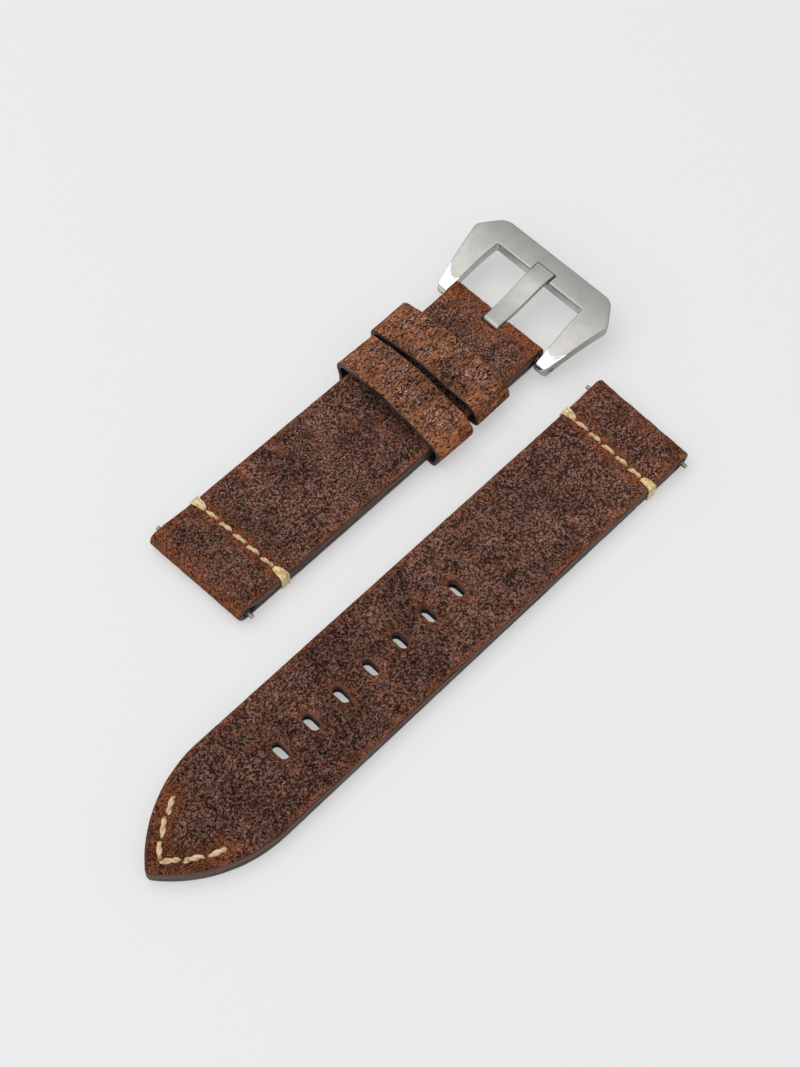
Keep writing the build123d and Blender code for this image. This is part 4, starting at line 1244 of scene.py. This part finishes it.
def makeBuckleFrame():
    b = buckle
    outerLine = roundedLine(
        [(-b["tipBack"], b["armOpening"] / 2 + 0.3), (-b["tipBack"], b["tipWidth"] / 2),
         (b["cornerReach"], b["cornerWidth"] / 2), (buckleReach, b["farWidth"] / 2), (buckleReach, 0.0)],
        [b["tipRound"], b["cornerRound"], b["farRound"]])
    innerLine = roundedLine(
        [(-b["tipBack"], b["armOpening"] / 2), (windowReach, b["windowWidth"] / 2), (windowReach, 0.0)],
        [b["windowRound"]])
    tipCount, armCount = b["armStations"]
    tipStations = -b["tipBack"] + (1 - np.cos(np.radians(np.linspace(4, 90, tipCount)))) * b["tipRound"]
    evenStations = np.linspace(-0.25, b["fanStart"], armCount)
    armStations = np.unique(np.round(np.concatenate([tipStations, evenStations, [b["facetReach"]]]), 5))
    facetStation = int(np.argmin(np.abs(armStations - b["facetReach"])))
    outerPoints, innerPoints = frameStations(outerLine, innerLine, armStations)
    notchShare = (b["notchReach"] - windowReach) / b["crossBar"]
    notchColumns = [notchShare - 0.004, notchShare + 0.004]
    shares = np.unique(np.concatenate([np.linspace(0, 1, b["columns"]), notchColumns]))
    stationCount, edge, rings = len(outerPoints), b["edge"], []
    for station, (outerPoint, innerPoint) in enumerate(zip(outerPoints, innerPoints)):
        fromTip = min(station, stationCount - 1 - station)
        side = 1 if station < stationCount / 2 else -1
        span = float(np.linalg.norm(outerPoint - innerPoint))
        across = (outerPoint - innerPoint) / span

        def place(distance, sink, top):
            point = innerPoint + across * distance
            share = distance / span
            if fromTip < len(armStations):
                # the stations bend so that one of them follows the crescent
                start = armStations[fromTip]
                near = smooth(1 - abs(start - b["facetReach"]) / b["crescentBlend"])
                bent = start + (facetEdge(share) - b["facetReach"]) * near
                inside = alongLine(innerLine, lengthAt(innerLine, 0, bent))
                outside = alongLine(outerLine, lengthAt(outerLine, 0, bent))
                point = (inside + (outside - inside) * share) * np.array([1.0, side])
                point[0] = bent
            along = max(point[0], -b["tipBack"] + 0.0005)
            high, low = frameTop(along, share), float(frameLow(along))
            sink = min(sink, max(high - low, 0.0) * 0.4)
            inReach = b["notchReach"] > point[0] > windowReach - b["notchBack"]
            high -= b["notchDepth"] if inReach and abs(point[1]) < b["notchHalf"] else 0.0
            return (point[0], point[1], high - sink if top else low + sink)

        run, corner = edge + (span - 2 * edge) * shares, roundEdge(edge, (30, 60, 90))
        ring = [place(share, 0.0, True) for share in run]
        ring += [place(span - inset, sink, True) for inset, sink in corner]
        ring += [place(span - inset, sink, False) for inset, sink in corner[::-1]]
        ring += [place(share, 0.0, False) for share in run[::-1]]
        ring += [place(inset, sink, False) for inset, sink in corner]
        ring += [place(inset, sink, True) for inset, sink in corner[::-1]]
        rings.append(ring)
    rings = np.array(rings)
    size = rings.shape[1]
    faces, faceMaterials = [], []
    # the top and its rounded edges are polished at the arms' ends, and the inner wall everywhere, its steel
    # coloured lighter as a painted reflection of the floor
    lastTop, firstInner, innerWall = len(shares) + 2, size - 3, 2 * len(shares) + 8
    for station in range(len(rings) - 1):
        polished = min(station + 1, stationCount - 1 - station) <= facetStation
        for number in range(size):
            a, c = station * size + number, station * size + (number + 1) % size
            faces.append((a, c, c + size, a + size))
            isFacet = polished and (number < lastTop or number >= firstInner)
            faceMaterials.append(1 if isFacet else 2 if number == innerWall else 0)
    faces += [tuple(range(size - 1, -1, -1)), tuple(range((len(rings) - 1) * size, len(rings) * size))]
    faceMaterials += [0, 0]
    points = rings.reshape(-1, 3) + np.array([buckleBar[0], nodeCentre("buckle_frame")[1], buckleBar[2]])
    steels = [satinSteel, polishedSteel, innerSteelPaintedLight]
    made = makeMesh("buckleFrame", points, faces, steels, faceMaterials, sharpAngle=38)
    return settle(made, "buckle_frame", "buckle_steel", "buckle_frame")


# Ends of the bar's holes on the outer sides of the arms
pinHole = {
    "sides": 28,
    "profile": [(0.0, 0.0), (0.5, 0.0), (0.54, 0.03), (0.6, 0.03), (0.66, -0.04), (0.66, -0.3), (0.0, -0.3)],
}


def makePinHoles():
    b = buckle
    rise = (b["cornerWidth"] - b["tipWidth"]) / 2 / (b["tipBack"] + b["cornerReach"])
    armSide = b["tipWidth"] / 2 + b["tipBack"] * rise
    points, faces, faceMaterials = [], [], []
    profile = pinHole["profile"]
    for side in (-1, 1):
        outward = unit(np.array([-rise, side, 0.0]))
        ahead, over = unit(np.array([1.0, side * rise, 0.0])), np.array([0.0, 0.0, 1.0])
        centre = np.array([buckleBar[0], nodeCentre("buckle_frame")[1] + side * armSide, buckleBar[2]])
        start = len(points)
        points.append(centre + outward * profile[0][1])
        for number in range(pinHole["sides"]):
            turn = 2 * math.pi * number / pinHole["sides"]
            ringward = math.cos(turn) * ahead + math.sin(turn) * over * side
            points += [centre + outward * out + ringward * radius for radius, out in profile[1:-1]]
        points.append(centre + outward * profile[-1][1])
        ringSize, last = len(profile) - 2, len(points) - 1
        for number in range(pinHole["sides"]):
            a = start + 1 + number * ringSize
            d = start + 1 + (number + 1) % pinHole["sides"] * ringSize
            faces.append((start, a, d))
            faces += [(a + step, a + step + 1, d + step + 1, d + step) for step in range(ringSize - 1)]
            faces.append((a + ringSize - 1, last, d + ringSize - 1))
            faceMaterials += [1, 1] + [0] * (ringSize - 1)
    steels = [satinSteel, holeShade]
    made = makeMesh("buckleFramePinHoles", np.array(points), faces, steels, faceMaterials, sharpAngle=30)
    return settle(made, "buckle_frame", "buckle_steel")


makeBuckleFrame()
makePinHoles()
print("buckle frame made")


tongue = {
    "reach": 14.0, "thickness": 1.1, "baseWidth": 3.7, "tipWidth": 4.3, "barrel": 1.75, "bore": 0.98,
    "edge": 0.2, "heel": [(-1.62, 1.25), (-1.42, 1.72), (-1.08, 2.04)], "start": 0.25, "sides": 48,
    "topAlong": (-1.0, 0.5, 2.5, 5.0, 7.5, 9.5, 11.2, 12.6, 14.0),
    "topUp": (2.08, 2.22, 2.44, 2.86, 3.55, 4.13, 4.46, 4.58, 4.6),
}


def makeTongue():
    t = tongue
    curve = np.polyfit(t["topAlong"], t["topUp"], 6)
    topAlong = np.linspace(t["topAlong"][0] + t["start"], t["reach"], 44)
    lowAlong = np.linspace(t["reach"], 0.0, 40)
    slope = np.polyval(np.polyder(curve), lowAlong)
    drop = t["thickness"] / np.cos(np.arctan(slope))
    top = list(zip(topAlong, np.polyval(curve, topAlong)))
    low = list(zip(lowAlong, np.polyval(curve, lowAlong) - drop))
    outline = np.array(top + low + [(-t["barrel"], 0.0)] + t["heel"])
    ahead = np.roll(outline, -1, axis=0) - np.roll(outline, 1, axis=0)
    inwards = unit(np.stack([ahead[:, 1], -ahead[:, 0]], axis=-1))
    rings, edge = [], t["edge"]
    levels = roundEdge(edge, (0, 30, 60, 90))
    for side, order in ((-1, levels), (1, levels[::-1])):
        for inset, fromEdge in order:
            widthShare = np.clip(outline[:, 0] / t["reach"], 0, 1)
            half = (t["baseWidth"] + (t["tipWidth"] - t["baseWidth"]) * widthShare) / 2
            moved = outline + inwards * inset
            rings.append(np.stack([moved[:, 0], side * (half - fromEdge), moved[:, 1]], axis=-1))
    # the caps take the smallest outline, the middle rings the full one
    rings = np.array(rings)
    count = len(outline)
    faces = []
    for station in range(len(rings) - 1):
        for number in range(count):
            a, c = station * count + number, station * count + (number + 1) % count
            faces.append((a, a + count, c + count, c))
    faces += [tuple(range(count)), tuple(range(len(rings) * count - 1, (len(rings) - 1) * count - 1, -1))]
    points = list(rings.reshape(-1, 3))
    # the barrel round the bar
    start, sides = len(points), t["sides"]
    half = t["baseWidth"] / 2
    profile = [(t["bore"], -half), (t["barrel"] - edge, -half), (t["barrel"], -half + edge),
               (t["barrel"], half - edge), (t["barrel"] - edge, half), (t["bore"], half)]
    size = len(profile)
    for number in range(sides):
        turn = 2 * math.pi * number / sides
        for radius, across in profile:
            points.append(np.array([radius * math.cos(turn), across, radius * math.sin(turn)]))
        a, d = start + number * size, start + (number + 1) % sides * size
        faces += [(a + step, d + step, d + (step + 1) % size, a + (step + 1) % size) for step in range(size)]
    made = makeMesh("buckleTongue", np.array(points) + buckleBar, faces, [satinSteel], sharpAngle=32)
    return settle(made, "buckle_tongue", "buckle_steel", "buckle_tongue")


makeTongue()
for nodeName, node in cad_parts.items():
    if "_bar_" in nodeName:
        node.data.materials.clear()
        node.data.materials.append(barSteel)
print("steel made")


# Stage: a pale floor, a soft sky and two large lamps
stage = {
    "floor": (0.83, 0.825, 0.81), "glow": (0.88, 0.88, 0.87), "glowShare": 0.42, "floorSize": 3.0,
    "floorDrop": 0.00001, "sky": (0.93, 0.95, 1.0), "horizon": 0.40, "zenith": 0.72,
}


def makeStage():
    half = stage["floorSize"] / 2
    mesh = bpy.data.meshes.new("floor")
    corners = [(-half, -half, 0), (half, -half, 0), (half, half, 0), (-half, half, 0)]
    mesh.from_pydata(corners, [], [(0, 1, 2, 3)])
    floor = bpy.data.objects.new("floor", mesh)
    bpy.context.scene.collection.objects.link(floor)
    material, tree, shader = nodesOf("floorPaper")
    shader.inputs["Base Color"].default_value = (*stage["floor"], 1.0)
    shader.inputs["Roughness"].default_value = 0.9
    shader.inputs["Specular IOR Level"].default_value = 0.1
    glow = add(tree, "ShaderNodeEmission", {"Color": (*stage["glow"], 1.0), "Strength": 1.0})
    seen = add(tree, "ShaderNodeLightPath")
    share = sums(tree, "MULTIPLY", seen.outputs["Is Camera Ray"], stage["glowShare"])
    blend = add(tree, "ShaderNodeMixShader", {0: share, 1: shader.outputs[0], 2: glow.outputs[0]})
    tree.links.new(blend.outputs[0], tree.nodes["Material Output"].inputs["Surface"])
    mesh.materials.append(material)
    floor.location.z = -stage["floorDrop"]
    world = bpy.data.worlds.new("sky")
    bpy.context.scene.world = world
    world.use_nodes = True
    tree = world.node_tree
    background = tree.nodes["Background"]
    place = add(tree, "ShaderNodeTexCoord")
    split = add(tree, "ShaderNodeSeparateXYZ", {0: place.outputs["Generated"]})
    level = between(tree, split.outputs["Z"], -0.1, 1.0, stage["horizon"], stage["zenith"])
    tree.links.new(level, background.inputs["Strength"])
    background.inputs["Color"].default_value = (*stage["sky"], 1.0)


# Places in metres
lamps = [
    {"name": "overhead", "place": (-0.16, 0.4, 1.15), "size": 1.35, "power": 4.8, "colour": (1, 0.99, 0.97)},
    {"name": "side", "place": (-0.85, 0.1, 0.8), "size": 1.0, "power": 3.2, "colour": (0.97, 0.98, 1)},
]


def makeLamps():
    for look in lamps:
        lamp = bpy.data.lights.new(look["name"], "AREA")
        lamp.shape, lamp.size = "DISK", look["size"]
        lamp.energy = look["power"]
        lamp.color = look["colour"]
        made = bpy.data.objects.new(look["name"], lamp)
        made.location = look["place"]
        made.rotation_mode = "QUATERNION"
        made.rotation_quaternion = Vector(look["place"]).to_track_quat("Z", "Y")
        bpy.context.scene.collection.objects.link(made)


# Focal length in pixels of the photo's height; look is the direction over the floor, aim the spot looked at,
# measured from the corner of the tail half
camera = {
    "imageHeight": 1067, "focal": 1598.64, "sensor": 36.0, "elevation": 61.73, "roll": 6.82,
    "distance": 286.5, "look": (0.7860, 0.6183), "aim": (-49.0, 15.5),
}


def makeCamera():
    data = bpy.data.cameras.new("camera")
    data.sensor_width = camera["sensor"]
    data.lens = data.sensor_width * camera["focal"] / camera["imageHeight"]
    made = bpy.data.objects.new("camera", data)
    aim = Vector((tailHalf["origin"][0] + camera["aim"][0], tailHalf["origin"][1] + camera["aim"][1], 0.0))
    low, turn = math.radians(camera["elevation"]), math.radians(camera["roll"])
    x, y = camera["look"]
    forward = Vector((x * math.cos(low), y * math.cos(low), -math.sin(low))).normalized()
    right = Vector((y, -x, 0.0)).normalized()
    up = right.cross(forward)
    right, up = right * math.cos(turn) + up * math.sin(turn), up * math.cos(turn) - right * math.sin(turn)
    place = (aim - forward * camera["distance"]) * millimetre
    made.matrix_world = Matrix.Translation(place) @ Matrix((right, up, -forward)).transposed().to_4x4()
    data.clip_start, data.clip_end = 0.01, 10.0
    bpy.context.scene.collection.objects.link(made)
    bpy.context.scene.camera = made


makeStage()
makeLamps()
makeCamera()
bpy.context.scene.view_settings.view_transform = "Standard"
print("stage, lamps and camera made")
